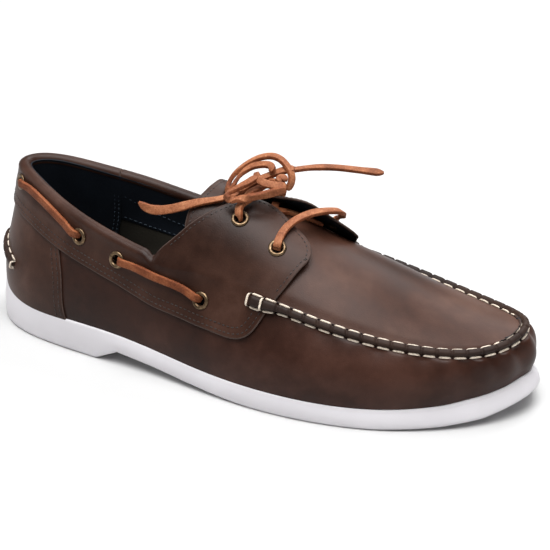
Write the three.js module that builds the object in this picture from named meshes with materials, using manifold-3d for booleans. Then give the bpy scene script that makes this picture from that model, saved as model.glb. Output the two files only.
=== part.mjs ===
// A men's boat shoe, right foot, about European size 43, standing empty on its sole.
// Millimetres, +Z up. The last's own frame has x = 0 at the back of the heel, x = 300 at the toe,
// +y on the inner (medial) side and z = 0 on the floor. The group moves it to the middle of its base.
import * as THREE from "three";
import { mergeVertices } from "three/addons/utils/BufferGeometryUtils.js";
import Module from "manifold-3d";

const wasm = await Module();
wasm.setup();

// ---------------------------------------------------------------- driving sizes
const MIDDLE = { x: 151.2, y: 1.6 }; // what the group's origin is in the last's frame
const SOLE_X = [3.5, 299]; // outsole, heel to toe
const FEATHER_X = [6, 294.5]; // line where the upper meets the sole
const RIM_X = [20, 287.6]; // collar's top line at the back, moccasin seam in front
const GAP = 0.3; // air between pieces that meet
const LEATHER = 2.2; // wall of the upper
const OVERLAY = 1.6; // collar and tab leather
const INSOLE = 3; // thickness of the insole
const LACE = { width: 3.7, thick: 2.2 };
const EYELET = { hole: 2.4, barrel: 2.9, flange: 4.4, lip: 0.7 }; // radii, and the flange's height

// Sections of the last. at: share of the length from heel to toe. sole: half outline of the tread on
// the outer (lateral) and inner (medial) side. rim: the collar's top line, then the moccasin seam.
const SECTIONS = [
  { at: 0.0, soleOut: 0, soleIn: 0, rimOut: 0, rimIn: 0, rimZ: 85.2 },
  { at: 0.02, soleOut: -18, soleIn: 17.5, rimOut: -8.7, rimIn: 9.1, rimZ: 84.7 },
  { at: 0.06, soleOut: -30, soleIn: 28.5, rimOut: -15.2, rimIn: 16.2, rimZ: 82.2 },
  { at: 0.12, soleOut: -37.5, soleIn: 35, rimOut: -21.8, rimIn: 23.2, rimZ: 77.5 },
  { at: 0.2, soleOut: -41.5, soleIn: 38, rimOut: -28.5, rimIn: 29.6, rimZ: 72 },
  { at: 0.3, soleOut: -44, soleIn: 37, rimOut: -33, rimIn: 33.2, rimZ: 65.8 },
  { at: 0.4, soleOut: -46.3, soleIn: 37, rimOut: -35.2, rimIn: 35, rimZ: 60.8 },
  { at: 0.5, soleOut: -50.4, soleIn: 42.5, rimOut: -36.3, rimIn: 35.4, rimZ: 57 },
  { at: 0.6, soleOut: -52.8, soleIn: 50.5, rimOut: -37.2, rimIn: 36.8, rimZ: 52.5 },
  { at: 0.7, soleOut: -51, soleIn: 55.5, rimOut: -36.2, rimIn: 38.4, rimZ: 46.8 },
  { at: 0.8, soleOut: -43.8, soleIn: 54, rimOut: -31, rimIn: 37.8, rimZ: 41 },
  { at: 0.88, soleOut: -32.4, soleIn: 47, rimOut: -23.8, rimIn: 34.6, rimZ: 37.7 },
  { at: 0.94, soleOut: -19.5, soleIn: 38, rimOut: -15.6, rimIn: 29.8, rimZ: 36.6 },
  { at: 0.98, soleOut: -6, soleIn: 26.5, rimOut: -5.9, rimIn: 21.8, rimZ: 37.9 },
  { at: 1.0, soleOut: 10.5, soleIn: 10.5, rimOut: 7.7, rimIn: 7.7, rimZ: 40 },
];

// The feather line: how far it sits inside the tread's outline, its height, and the foot bed's height.
const FEATHER = [
  { at: 0.0, inset: 2.6, z: 24.6, bed: 17.8 },
  { at: 0.12, inset: 1.6, z: 17.3, bed: 16.9 },
  { at: 0.3, inset: 1.7, z: 16.9, bed: 16.5 },
  { at: 0.45, inset: 2.1, z: 12.3, bed: 12 },
  { at: 0.6, inset: 1.9, z: 10.6, bed: 10.3 },
  { at: 0.75, inset: 2.1, z: 9.7, bed: 9.4 },
  { at: 0.88, inset: 2.6, z: 11, bed: 10.3 },
  { at: 0.95, inset: 3.1, z: 14.2, bed: 11.6 },
  { at: 1.0, inset: 3.4, z: 18.6, bed: 13.6 },
];

// The tread's height: heel block, slanted breast, waist, ball of the foot and toe spring.
const TREAD = [
  { at: 0.0, z: 0 },
  { at: 0.27, z: 0 },
  { at: 0.315, z: 6.8 },
  { at: 0.38, z: 4.9 },
  { at: 0.45, z: 2.6 },
  { at: 0.53, z: 0.7 },
  { at: 0.58, z: 0 },
  { at: 0.78, z: 0 },
  { at: 0.88, z: 1.3 },
  { at: 0.94, z: 3.5 },
  { at: 1.0, z: 9.3 },
];

// The crown of the instep, over the middle of the foot.
const CROWN = [
  { at: 0.35, z: 92 },
  { at: 0.45, z: 87 },
  { at: 0.55, z: 79 },
  { at: 0.65, z: 68.5 },
  { at: 0.75, z: 59 },
  { at: 0.85, z: 48.5 },
  { at: 0.93, z: 42.3 },
  { at: 1.0, z: 40 },
];

// How the side wall bulges: millimetres outwards at the foot and at the top of the wall, and the
// share of its height over which each acts.
const WALL = [
  { at: 0.0, low: 0.3, lowRise: 0.3, high: 2.2, highDrop: 0.36 },
  { at: 0.12, low: 1, lowRise: 0.3, high: 2.2, highDrop: 0.34 },
  { at: 0.3, low: 2, lowRise: 0.3, high: 2, highDrop: 0.34 },
  { at: 0.45, low: 3, lowRise: 0.32, high: 3.5, highDrop: 0.32 },
  { at: 0.6, low: 4, lowRise: 0.4, high: 6, highDrop: 0.26 },
  { at: 0.75, low: 4.5, lowRise: 0.42, high: 8, highDrop: 0.2 },
  { at: 0.88, low: 4.5, lowRise: 0.45, high: 8, highDrop: 0.16 },
  { at: 1.0, low: 4, lowRise: 0.5, high: 7, highDrop: 0.14 },
];

// ---------------------------------------------------------------- curves through the tables
const angleAt = (at) => Math.acos(Math.min(1, Math.max(-1, 1 - 2 * at)));
const shareOf = (angle) => (1 - Math.cos(angle)) / 2;
const between = (low, high, t) => low + (high - low) * t;

function ease(value, start, end) {
  const t = Math.min(1, Math.max(0, (value - start) / (end - start)));
  return t * t * (3 - 2 * t);
}

// A cubic spline through one column of a table, over the angle round the last. It is level at the heel
// and the toe for heights and bulges, and straight there for the outline's y.
function curveOf(rows, column, level = true) {
  const x = rows.map((row) => angleAt(row.at));
  const y = rows.map((row) => row[column]);
  const n = x.length;
  const bend = new Array(n).fill(0);
  const work = new Array(n).fill(0);
  const slope = (i) => (y[i + 1] - y[i]) / (x[i + 1] - x[i]);
  if (level) {
    bend[0] = -0.5;
    work[0] = (3 / (x[1] - x[0])) * slope(0);
  }
  for (let i = 1; i < n - 1; i++) {
    const share = (x[i] - x[i - 1]) / (x[i + 1] - x[i - 1]);
    const pivot = share * bend[i - 1] + 2;
    bend[i] = (share - 1) / pivot;
    work[i] = ((6 * (slope(i) - slope(i - 1))) / (x[i + 1] - x[i - 1]) - share * work[i - 1]) / pivot;
  }
  if (level) {
    const end = (-3 / (x[n - 1] - x[n - 2])) * slope(n - 2);
    bend[n - 1] = (end - 0.5 * work[n - 2]) / (0.5 * bend[n - 2] + 1);
  }
  for (let i = n - 2; i >= 0; i--) bend[i] = bend[i] * bend[i + 1] + work[i];
  return (angle) => {
    let i = 0;
    while (i < n - 2 && angle > x[i + 1]) i++;
    const width = x[i + 1] - x[i];
    const b = (angle - x[i]) / width;
    const a = 1 - b;
    const curved = (a ** 3 - a) * bend[i] + (b ** 3 - b) * bend[i + 1];
    return a * y[i] + b * y[i + 1] + (curved * width * width) / 6;
  };
}

// Straight stretches between the rows of a table.
function stretchesOf(rows, column, key = "at") {
  return (value) => {
    let i = 0;
    while (i < rows.length - 2 && value > rows[i + 1][key]) i++;
    const t = (value - rows[i][key]) / (rows[i + 1][key] - rows[i][key]);
    return between(rows[i][column], rows[i + 1][column], Math.min(1, Math.max(0, t)));
  };
}

const outline = {
  soleOut: curveOf(SECTIONS, "soleOut", false),
  soleIn: curveOf(SECTIONS, "soleIn", false),
  rimOut: curveOf(SECTIONS, "rimOut", false),
  rimIn: curveOf(SECTIONS, "rimIn", false),
  rimZ: curveOf(SECTIONS, "rimZ"),
  inset: curveOf(FEATHER, "inset"),
  featherZ: curveOf(FEATHER, "z"),
  bed: curveOf(FEATHER, "bed"),
  crown: curveOf(CROWN, "z"),
  low: curveOf(WALL, "low"),
  lowRise: curveOf(WALL, "lowRise"),
  high: curveOf(WALL, "high"),
  highDrop: curveOf(WALL, "highDrop"),
  tread: stretchesOf(TREAD, "z"),
};

// ---------------------------------------------------------------- the last's surface
// turn runs round the shoe: 0 at the back, +-PI at the toe, above 0 on the inner side.
// up runs up the surface: 0 at the feather line, 1 at the rim, 2 on the crown of the instep.
const V = (x, y, z) => new THREE.Vector3(x, y, z);
const UP = V(0, 0, 1);
const wrap = (turn) => (turn > Math.PI ? turn - 2 * Math.PI : turn < -Math.PI ? turn + 2 * Math.PI : turn);
const sideOf = (turn) => (turn < 0 ? "Out" : "In");
const along = (range, angle) => between(range[0], range[1], shareOf(angle));

function featherPoint(turn) {
  const a = Math.abs(turn);
  const sign = turn < 0 ? -1 : 1;
  const inset = outline.inset(a) * Math.tanh(3 * Math.sin(a));
  return V(along(FEATHER_X, a), outline["sole" + sideOf(turn)](a) - sign * inset, outline.featherZ(a));
}

function treadPoint(turn) {
  const a = Math.abs(turn);
  return V(along(SOLE_X, a), outline["sole" + sideOf(turn)](a), outline.tread(shareOf(a)));
}

function rimPoint(turn) {
  const a = Math.abs(turn);
  return V(along(RIM_X, a), outline["rim" + sideOf(turn)](a), outline.rimZ(a));
}

// The level direction straight out of the shoe's outline.
function outwards(turn) {
  const step = 1e-3;
  const run = featherPoint(wrap(turn + step)).sub(featherPoint(wrap(turn - step)));
  return V(-run.y, run.x, 0).normalize();
}

// The wall's top: the rim in front, and the shoulder under the padded roll at the back.
const ROLL_SHOULDER = 2.4;
function shoulderPoint(turn) {
  const roll = 1 - ease(shareOf(Math.abs(turn)), 0.36, 0.46);
  return rimPoint(turn)
    .addScaledVector(outwards(turn), ROLL_SHOULDER * roll)
    .addScaledVector(UP, -ROLL_SHOULDER * roll);
}

function wallPoint(turn, up) {
  const a = Math.abs(turn);
  const foot = featherPoint(turn);
  const top = shoulderPoint(turn);
  const out = outwards(turn);
  const height = top.z - foot.z;
  const low = foot.clone().addScaledVector(out, outline.low(a)).addScaledVector(UP, outline.lowRise(a) * height);
  const high = top.clone().addScaledVector(out, outline.high(a)).addScaledVector(UP, -outline.highDrop(a) * height);
  return new THREE.CubicBezierCurve3(foot, low, high, top).getPoint(up);
}

function instepPoint(turn, up) {
  const a = Math.abs(turn);
  const across = turn < 0 ? up - 2 : 2 - up; // -1 on the outer rim, +1 on the inner rim
  const outer = rimPoint(-a);
  const inner = rimPoint(a);
  const y = between(outer.y, inner.y, (across + 1) / 2);
  return V(outer.x, y, between(outer.z, outline.crown(a), 1 - across * across));
}

function lastPoint(turn, up) {
  if (up > 2) return lastPoint(-turn, 4 - up);
  return up <= 1 ? wallPoint(turn, Math.max(0, up)) : instepPoint(turn, up);
}

// The surface's own direction out of the shoe.
function normalAt(turn, up) {
  const step = 2e-3;
  const round = lastPoint(wrap(turn + step), up).sub(lastPoint(wrap(turn - step), up));
  const rise = lastPoint(turn, up + step).sub(lastPoint(turn, Math.max(0, up - step)));
  return rise.cross(round).normalize();
}

const skin = (turn, up, offset) => lastPoint(turn, up).addScaledVector(normalAt(turn, up), offset);
const turnAt = (side, at) => (side === "lateral" ? -1 : 1) * angleAt(at);

// ---------------------------------------------------------------- meshes
// A closed mesh from triangles of points: points that coincide become one.
function meshOf(triangles) {
  const flat = new Float32Array(triangles.length * 9);
  triangles.flat().forEach((p, i) => p.toArray(flat, i * 3));
  const soup = new THREE.BufferGeometry();
  soup.setAttribute("position", new THREE.BufferAttribute(flat, 3));
  return joined(soup);
}

// Merges a geometry's coinciding points, and leaves out triangles with no area.
function joined(geometry) {
  for (const name of ["normal", "uv"]) geometry.deleteAttribute(name);
  const merged = mergeVertices(geometry, 1e-3);
  const index = merged.index.array;
  const kept = [];
  for (let i = 0; i < index.length; i += 3) {
    const [a, b, c] = index.slice(i, i + 3);
    if (a !== b && b !== c && c !== a) kept.push(a, b, c);
  }
  merged.setIndex(kept);
  return merged;
}

// Rings of points joined into a solid. The ends are closed flat unless the rings close on each other.
function loft(rings, closed = false) {
  const triangles = [];
  const count = rings[0].length;
  const last = closed ? rings.length : rings.length - 1;
  for (let i = 0; i < last; i++) {
    const here = rings[i];
    const next = rings[(i + 1) % rings.length];
    for (let j = 0; j < count; j++) {
      const k = (j + 1) % count;
      triangles.push([here[j], next[j], next[k]], [here[j], next[k], here[k]]);
    }
  }
  if (!closed) {
    for (const [ring, flip] of [[rings[0], false], [rings.at(-1), true]]) {
      const middle = ring.reduce((sum, p) => sum.add(p), V(0, 0, 0)).divideScalar(count);
      for (let j = 0; j < count; j++) {
        const pair = [ring[j], ring[(j + 1) % count]];
        triangles.push(flip ? [middle, pair[1], pair[0]] : [middle, ...pair]);
      }
    }
  }
  return facedOut(meshOf(triangles));
}

// Turns a closed mesh's faces outwards.
function facedOut(geometry) {
  const p = geometry.attributes.position;
  const index = geometry.index.array;
  let volume = 0;
  for (let i = 0; i < index.length; i += 3) {
    const [a, b, c] = [0, 1, 2].map((k) => V().fromBufferAttribute(p, index[i + k]));
    volume += a.dot(b.cross(c));
  }
  if (volume < 0) {
    for (let i = 0; i < index.length; i += 3) [index[i], index[i + 1]] = [index[i + 1], index[i]];
  }
  return geometry;
}

// A wall: a sheet of points with quads between them, and the same sheet again on its other side.
// at(key) gives [outer point, inner point]; quads hold four keys, counter-clockwise from outside.
function walled(quads, at) {
  const place = new Map();
  const find = (key) => {
    if (!place.has(key)) place.set(key, at(key));
    return place.get(key);
  };
  const triangles = [];
  const open = new Map();
  for (const quad of quads) {
    const corners = quad.filter((key, i) => key !== quad[(i + 1) % quad.length]);
    for (let i = 1; i < corners.length - 1; i++) {
      const trio = [corners[0], corners[i], corners[i + 1]].map(find);
      triangles.push(trio.map((pair) => pair[0]), trio.map((pair) => pair[1]).reverse());
    }
    corners.forEach((key, i) => {
      const next = corners[(i + 1) % corners.length];
      if (!open.delete(next + "|" + key)) open.set(key + "|" + next, [key, next]);
    });
  }
  for (const [from, to] of open.values()) {
    const [a, b] = [find(from), find(to)];
    triangles.push([a[1], b[1], b[0]], [a[1], b[0], a[0]]);
  }
  return facedOut(meshOf(triangles));
}

function toSolid(geometry) {
  const merged = joined(geometry.clone());
  return new wasm.Manifold(
    new wasm.Mesh({
      numProp: 3,
      vertProperties: new Float32Array(merged.attributes.position.array),
      triVerts: new Uint32Array(merged.index.array),
    }),
  );
}

function fromSolid(solid) {
  const mesh = solid.getMesh();
  const geometry = new THREE.BufferGeometry();
  geometry.setAttribute("position", new THREE.BufferAttribute(new Float32Array(mesh.vertProperties), 3));
  geometry.setIndex(new THREE.BufferAttribute(new Uint32Array(mesh.triVerts), 1));
  return geometry;
}

// ---------------------------------------------------------------- outsole and insole
const ROUND_STEPS = 36; // sections from heel to toe
const angles = Array.from({ length: ROUND_STEPS + 1 }, (_, i) => (Math.PI * i) / ROUND_STEPS);

// One side of the sole's section, from the foot bed's edge down to the tread's edge.
function soleSide(turn) {
  const out = outwards(turn);
  const feather = featherPoint(turn);
  const tread = treadPoint(turn);
  const lip = feather.clone().addScaledVector(out, 0.8);
  const foot = tread.clone().addScaledVector(UP, 1.6);
  const bed = feather.clone().addScaledVector(out, -(LEATHER + 0.6));
  const inside = bed.clone().addScaledVector(out, -0.4);
  inside.z = outline.bed(Math.abs(turn));
  return [
    inside,
    bed,
    lip,
    lip.clone().lerp(foot, 0.5).addScaledVector(out, 0.4),
    foot,
    tread.clone().addScaledVector(out, -1.4),
  ];
}

const across = (from, to, count) =>
  Array.from({ length: count }, (_, i) => from.clone().lerp(to, (i + 1) / (count + 1)));

function outsole() {
  const rings = angles.map((angle) => {
    const outer = soleSide(-angle);
    const inner = soleSide(angle);
    return [
      ...outer,
      ...across(outer.at(-1), inner.at(-1), 1),
      ...inner.reverse(),
      ...across(inner.at(-1), outer[0], 1),
    ];
  });
  return loft(rings);
}

function insole() {
  const edge = (turn, lift) => {
    const p = featherPoint(turn).addScaledVector(outwards(turn), -(LEATHER + 1.6));
    p.z = outline.bed(Math.abs(turn)) + GAP + lift;
    return p;
  };
  const rings = angles.map((angle) => {
    const low = [edge(-angle, 0), edge(angle, 0)];
    const top = [edge(angle, INSOLE), edge(-angle, INSOLE)];
    return [low[0], ...across(low[0], low[1], 1), low[1], top[0], ...across(top[0], top[1], 1), top[1]];
  });
  return loft(rings);
}

// ---------------------------------------------------------------- upper
const THROAT = 0.54; // share of the length where the vamp's plug starts
const WALL_TOP = [
  { at: 0, up: 0.79 },
  { at: 0.36, up: 0.79 },
  { at: 0.42, up: 0.86 },
  { at: 0.49, up: 0.86 },
  { at: THROAT, up: 1 },
  { at: 1, up: 1 },
];
const wallTop = stretchesOf(WALL_TOP, "up");
const WALL_ROWS = 7;
const PLUG_ROWS = 5; // from the rim to the crown, on each side
const UPPER_SHARES = [0, 0.004, 0.012, 0.03, 0.055, 0.085, 0.12, 0.16, 0.2, 0.24, 0.28, 0.32, 0.36, 0.4, 0.44, 0.49,
  THROAT, 0.57, 0.6, 0.63, 0.66, 0.69, 0.72, 0.75, 0.78, 0.81, 0.84, 0.87, 0.9, 0.925, 0.95, 0.968, 0.982, 0.992, 1];

function upper() {
  const shares = UPPER_SHARES;
  const last = shares.length - 1;
  const first = shares.indexOf(THROAT);
  const key = (side, i, j) => {
    const middle = i === 0 || i === last || j === WALL_ROWS + PLUG_ROWS;
    const row = i === last ? Math.min(j, WALL_ROWS) : j;
    return `${middle ? "both" : side}:${i}:${row}`;
  };
  const quads = [];
  for (const side of ["lateral", "medial"]) {
    for (let i = 0; i < last; i++) {
      const rows = i < first ? WALL_ROWS : WALL_ROWS + PLUG_ROWS;
      for (let j = 0; j < rows; j++) {
        const quad = [key(side, i, j), key(side, i, j + 1), key(side, i + 1, j + 1), key(side, i + 1, j)];
        quads.push(side === "lateral" ? quad : quad.reverse());
      }
    }
  }
  return walled(quads, (name) => {
    const [side, i, j] = name.split(":");
    const turn = turnAt(side === "both" ? "medial" : side, shares[i]);
    const up = j <= WALL_ROWS ? (wallTop(shares[i]) * j) / WALL_ROWS : 1 + (j - WALL_ROWS) / PLUG_ROWS;
    const lift = j === "0" ? V(0, 0, GAP) : V(0, 0, 0);
    return [skin(turn, up, 0).add(lift), skin(turn, up, -LEATHER).add(lift)];
  });
}

// ---------------------------------------------------------------- collar and tabs
// Each collar piece is one leather: a band along the top of the wall, its padded roll over the rim
// and, in front, the tab that folds over the tongue. low and high are its edges, up the surface.
const COLLAR = [
  { at: 0, low: 0.7 },
  { at: 0.08, low: 0.695 },
  { at: 0.17, low: 0.66 },
  { at: 0.3, low: 0.605 },
  { at: 0.39, low: 0.535 },
  { at: 0.46, low: 0.495 },
  { at: 0.523, low: 0.48 },
  { at: 0.552, low: 0.488 },
  { at: 0.572, low: 0.545 },
  { at: 0.585, low: 0.66 },
  { at: 0.594, low: 0.82 },
  { at: 0.607, low: 1.02 },
  { at: 0.617, low: 1.145 },
  { at: 0.63, low: 1.36 },
  { at: 0.637, low: 1.48 },
];
const TAB = [
  { at: 0, high: 1 },
  { at: 0.363, high: 1 },
  { at: 0.386, high: 1.112 },
  { at: 0.405, high: 1.22 },
  { at: 0.421, high: 1.33 },
  { at: 0.434, high: 1.412 },
  { at: 0.455, high: 1.556 },
  { at: 0.478, high: 1.72 },
  { at: 0.5, high: 1.87 },
  { at: 0.51, high: 1.92 },
  { at: 0.53, high: 1.94 },
  { at: 0.549, high: 1.914 },
  { at: 0.567, high: 1.862 },
  { at: 0.59, high: 1.79 },
  { at: 0.612, high: 1.735 },
  { at: 0.629, high: 1.65 },
  { at: 0.637, high: 1.55 },
];
const collarLow = stretchesOf(COLLAR, "low");
const tabHigh = stretchesOf(TAB, "high");
const TAB_REACH = 0.034; // the inner tab reaches this share of the length further forward
const COLLAR_SEAM = 0.155; // share of the length where the two collar leathers meet, on the inner side
const ROLL = 3.2; // radius of the padded roll
const COLLAR_ROWS = 5;
const ROLL_ROWS = 4;
const COLLAR_SHARES = [0, 0.006, 0.02, 0.045, 0.08, 0.12, COLLAR_SEAM, 0.19, 0.22, 0.26, 0.3, 0.34, 0.363, 0.386,
  0.405, 0.421, 0.434, 0.455, 0.478, 0.5, 0.51, 0.53, 0.549, 0.567, 0.58, 0.59, 0.601, 0.612, 0.621, 0.629, 0.637];

// The place in the tables above of a turn round the last.
function tableShare(turn) {
  const at = shareOf(Math.abs(turn));
  return turn < 0 ? at : at - TAB_REACH * ease(at, 0.44, 0.6);
}

// The bend at the rim needs more air than flat leather does, most of all beside the plug.
const collarGap = (turn) => between(0.55, 0.9, ease(shareOf(Math.abs(turn)), 0.5, 0.56));

// The outer tab lies over the instep. The inner one stands up off it, towards its free edge.
function tabLift(turn, up) {
  if (turn < 0) return 2.4 * ease(up, 1, 1.6);
  const edgeLift = between(2.5, 9.5, ease(shareOf(turn), 0.5, 0.6));
  return edgeLift * (Math.max(0, up - 1.25) / 0.65) ** 2;
}

const collarInside = (turn, up) => collarGap(turn) + tabLift(turn, up);
const collarOutside = (turn, up) => collarInside(turn, up) + between(1, OVERLAY, ease(up, 1, 1.3));

// The outer and inner point of one row of a collar piece.
function collarPair(turn, row) {
  const at = tableShare(turn);
  const rows = COLLAR_ROWS + ROLL_ROWS;
  const low = collarLow(at);
  const up = between(low, tabHigh(at), row / rows);
  const flat = [skin(turn, up, collarOutside(turn, up)), skin(turn, up, collarInside(turn, up))];
  const rolled = 1 - ease(at, 0.33, 0.41);
  if (rolled === 0) return flat;
  const out = outwards(turn);
  const core = rimPoint(turn).addScaledVector(out, 0.4).addScaledVector(UP, -ROLL);
  const onRoll = (sideways, upwards) =>
    core.clone().addScaledVector(out, ROLL * sideways).addScaledVector(UP, ROLL * upwards);
  const edge = wallTop(at) + 0.025;
  const top = between(low, 0.87, Math.min(1, row / COLLAR_ROWS));
  const bend = [
    [skin(turn, top, 1 + GAP), skin(turn, Math.min(top, edge), GAP)],
    [skin(turn, 1, 1 + GAP), skin(turn, edge, -0.6)],
    [onRoll(0.7, 0.7), skin(turn, edge, -LEATHER - 0.6)],
    [onRoll(0, 1), onRoll(-1, -1)],
    [onRoll(-0.7, 0.7), onRoll(-1, -0.1)],
  ][Math.max(0, row - COLLAR_ROWS)];
  return flat.map((point, i) => point.lerp(bend[i], rolled));
}

// A collar piece from one turn to another, with the given sections between its ends.
function collarPiece(turns) {
  const quads = [];
  for (let i = 0; i < turns.length - 1; i++) {
    for (let j = 0; j < COLLAR_ROWS + ROLL_ROWS; j++) {
      quads.push([`${i}:${j}`, `${i + 1}:${j}`, `${i + 1}:${j + 1}`, `${i}:${j + 1}`]);
    }
  }
  return walled(quads, (name) => {
    const [i, j] = name.split(":").map(Number);
    return collarPair(turns[i], j);
  });
}

function collarTurns(side) {
  const seam = angleAt(COLLAR_SEAM);
  if (side === "medial") {
    const reached = COLLAR_SHARES.map((at) => angleAt(at + TAB_REACH * ease(at, 0.44, 0.57)));
    return [seam + 0.004, ...reached.filter((angle) => angle > seam + 0.01)];
  }
  const front = COLLAR_SHARES.map(angleAt);
  const back = front.filter((angle) => angle > 0.01 && angle < seam - 0.01);
  return [seam - 0.004, ...back.reverse(), ...front.map((angle) => -angle)];
}

// ---------------------------------------------------------------- tongue
// A flap under the tabs. Its back edge is rounded; its front goes under the plug of the vamp.
const TONGUE = [
  { up: 1.22, back: 0.43 },
  { up: 1.26, back: 0.414 },
  { up: 1.33, back: 0.406 },
  { up: 1.45, back: 0.405 },
  { up: 1.7, back: 0.415 },
  { up: 2, back: 0.421 },
];
const TONGUE_FRONT = 0.6;
const TONGUE_THICK = 1.6;
const tongueBack = stretchesOf(TONGUE, "back", "up");

function tongue() {
  const ups = [1.22, 1.26, 1.33, 1.4, 1.5, 1.62, 1.75, 1.88, 2];
  const columns = [...ups, ...ups.slice(0, -1).reverse()];
  const steps = 8;
  const quads = [];
  for (let i = 0; i < steps; i++) {
    for (let j = 0; j < columns.length - 1; j++) {
      quads.push([`${i}:${j}`, `${i + 1}:${j}`, `${i + 1}:${j + 1}`, `${i}:${j + 1}`]);
    }
  }
  return walled(quads, (name) => {
    const [i, j] = name.split(":").map(Number);
    const up = columns[j];
    const side = j < ups.length ? "lateral" : "medial";
    const at = between(tongueBack(up), TONGUE_FRONT, i / steps);
    const lifted = between(1.2 * ease(up, 1.3, 1.9), -LEATHER - GAP - 1.2, ease(at, 0.43, THROAT - 0.02));
    const turn = turnAt(side, at);
    return [skin(turn, up, lifted), skin(turn, up, lifted - TONGUE_THICK)];
  });
}

// ---------------------------------------------------------------- hand-sewn ridges
const RIDGE = { width: 3.4, height: 3 };

// A raised ridge of folded leather along the surface. stations: { turn, up, base } where up is its
// upper edge and base is how far its underside stands off the last.
function ridge(stations, width, height) {
  return loft(
    stations.map(({ turn, up, base }) => {
      const step = 0.01;
      const rise = lastPoint(turn, up - step).distanceTo(lastPoint(turn, up - 2 * step)) / step;
      const down = up - width / rise;
      const inset = (up - down) * 0.18;
      return [
        skin(turn, down, base),
        skin(turn, down + inset, base + height * 0.85),
        skin(turn, (up + down) / 2, base + height),
        skin(turn, up - inset, base + height * 0.85),
        skin(turn, up, base),
      ];
    }),
  );
}

const MOC = { start: 0.563, top: 0.983 }; // the moccasin seam's end on each side, and its upper edge

function mocSeam() {
  const overTab = [MOC.start, 0.578, 0.59, 0.603, 0.616, 0.63, 0.65];
  const alongPlug = [0.68, 0.71, 0.74, 0.77, 0.8, 0.83, 0.86, 0.885, 0.91, 0.93, 0.95, 0.965, 0.978, 0.988, 0.995];
  const half = (side, reach) => {
    const shares = [...overTab.map((at) => at + reach), ...alongPlug.filter((at) => at > 0.66 + reach)];
    return shares.map((at) => ({
      turn: turnAt(side, at),
      up: MOC.top,
      base: between(2.2, GAP, ease(at - reach, 0.61, 0.64)),
    }));
  };
  const toe = { turn: turnAt("medial", 1), up: MOC.top, base: GAP };
  return ridge([...half("lateral", 0), toe, ...half("medial", TAB_REACH).reverse()], RIDGE.width, RIDGE.height);
}

function heelSeam() {
  const ends = 0.066;
  const count = 12;
  const stations = Array.from({ length: count + 1 }, (_, i) => {
    const turn = between(-angleAt(ends), angleAt(ends), i / count);
    const middle = 1 - (turn / angleAt(ends)) ** 2;
    return { turn, up: between(0.31, 0.34, middle), base: GAP };
  });
  return ridge(stations, 3.6, 2.6);
}

// ---------------------------------------------------------------- eyelets
// Places of the lace holes, from the heel to the front of the tab.
const HOLES = {
  lateral: [
    { at: 0.031, up: 0.92 },
    { at: 0.2, up: 0.863 },
    { at: 0.29, up: 0.839 },
    { at: 0.472, up: 0.728 },
    { at: 0.502, up: 1.563 },
    { at: 0.582, up: 1.449 },
  ],
  medial: [
    { at: 0.031, up: 0.92 },
    { at: 0.2, up: 0.863 },
    { at: 0.29, up: 0.839 },
    { at: 0.472, up: 0.728 },
    { at: 0.52, up: 1.55 },
    { at: 0.622, up: 1.48 },
  ],
};
const SIDES = Object.keys(HOLES);
const EYELET_SIDES = 8;
const DRILL = { radius: EYELET.barrel + GAP, length: 16 };

// Where a hole's middle is on the collar's outer face, and the turn from +Y to straight out of it.
function holePlace(side, hole) {
  const outerFace = (turn, up) => skin(turn, up, collarOutside(turn, up));
  const turn = turnAt(side, hole.at);
  const step = 0.02;
  const round = outerFace(turn + step, hole.up).sub(outerFace(turn - step, hole.up));
  const rise = outerFace(turn, hole.up + step).sub(outerFace(turn, hole.up - step));
  return {
    point: outerFace(turn, hole.up),
    facing: new THREE.Quaternion().setFromUnitVectors(V(0, 1, 0), rise.cross(round).normalize()),
  };
}

function eyelet() {
  const depth = -2.2;
  const profile = [
    [EYELET.hole, depth],
    [EYELET.barrel, depth],
    [EYELET.barrel, GAP],
    [EYELET.flange, GAP],
    [EYELET.flange - 0.4, GAP + EYELET.lip],
    [EYELET.hole + 0.3, GAP + EYELET.lip],
    [EYELET.hole, depth],
  ].map(([x, y]) => new THREE.Vector2(x, y));
  return facedOut(joined(new THREE.LatheGeometry(profile, EYELET_SIDES)));
}

// Takes the lace holes out of a leather.
function drilled(geometry, sides) {
  let solid = toSolid(geometry);
  for (const side of sides) {
    for (const hole of HOLES[side]) {
      const { point, facing } = holePlace(side, hole);
      const drill = new THREE.CylinderGeometry(DRILL.radius, DRILL.radius, DRILL.length, EYELET_SIDES);
      drill.applyQuaternion(facing).translate(point.x, point.y, point.z);
      solid = solid.subtract(toSolid(drill));
    }
  }
  return fromSolid(solid);
}

// ---------------------------------------------------------------- laces
// A flat rawhide lace along a list of points. faces gives the direction its wide face looks at each.
function laceAlong(points, faces) {
  const half = { width: LACE.width / 2, thick: LACE.thick / 2 };
  return points.map((point, i) => {
    const run = points[Math.min(i + 1, points.length - 1)].clone().sub(points[Math.max(i - 1, 0)]).normalize();
    const wide = run.clone().cross(faces[i]).normalize();
    const face = wide.clone().cross(run).normalize();
    const corner = (w, t) =>
      point.clone().addScaledVector(wide, w * half.width).addScaledVector(face, t * half.thick);
    return [corner(-1, -1), corner(1, -1), corner(1, 1), corner(-1, 1)];
  });
}

// The lengths of lace that lie on the outside of the collar, from one eyelet to the next.
function sideLace(side, from, to) {
  const steps = 8;
  const places = Array.from({ length: steps + 1 }, (_, i) => {
    const share = i / steps;
    const turn = between(turnAt(side, from.at), turnAt(side, to.at), share);
    const up = between(from.up, to.up, share);
    const overEyelet = Math.max(1 - ease(share, 0.1, 0.3), ease(share, 0.7, 0.9));
    const lift = between(GAP, 2 * GAP + EYELET.lip + 0.2, overEyelet) + LACE.thick / 2;
    return { point: skin(turn, up, collarOutside(turn, up) + lift), face: normalAt(turn, up) };
  });
  return loft(laceAlong(places.map((place) => place.point), places.map((place) => place.face)));
}

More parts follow.
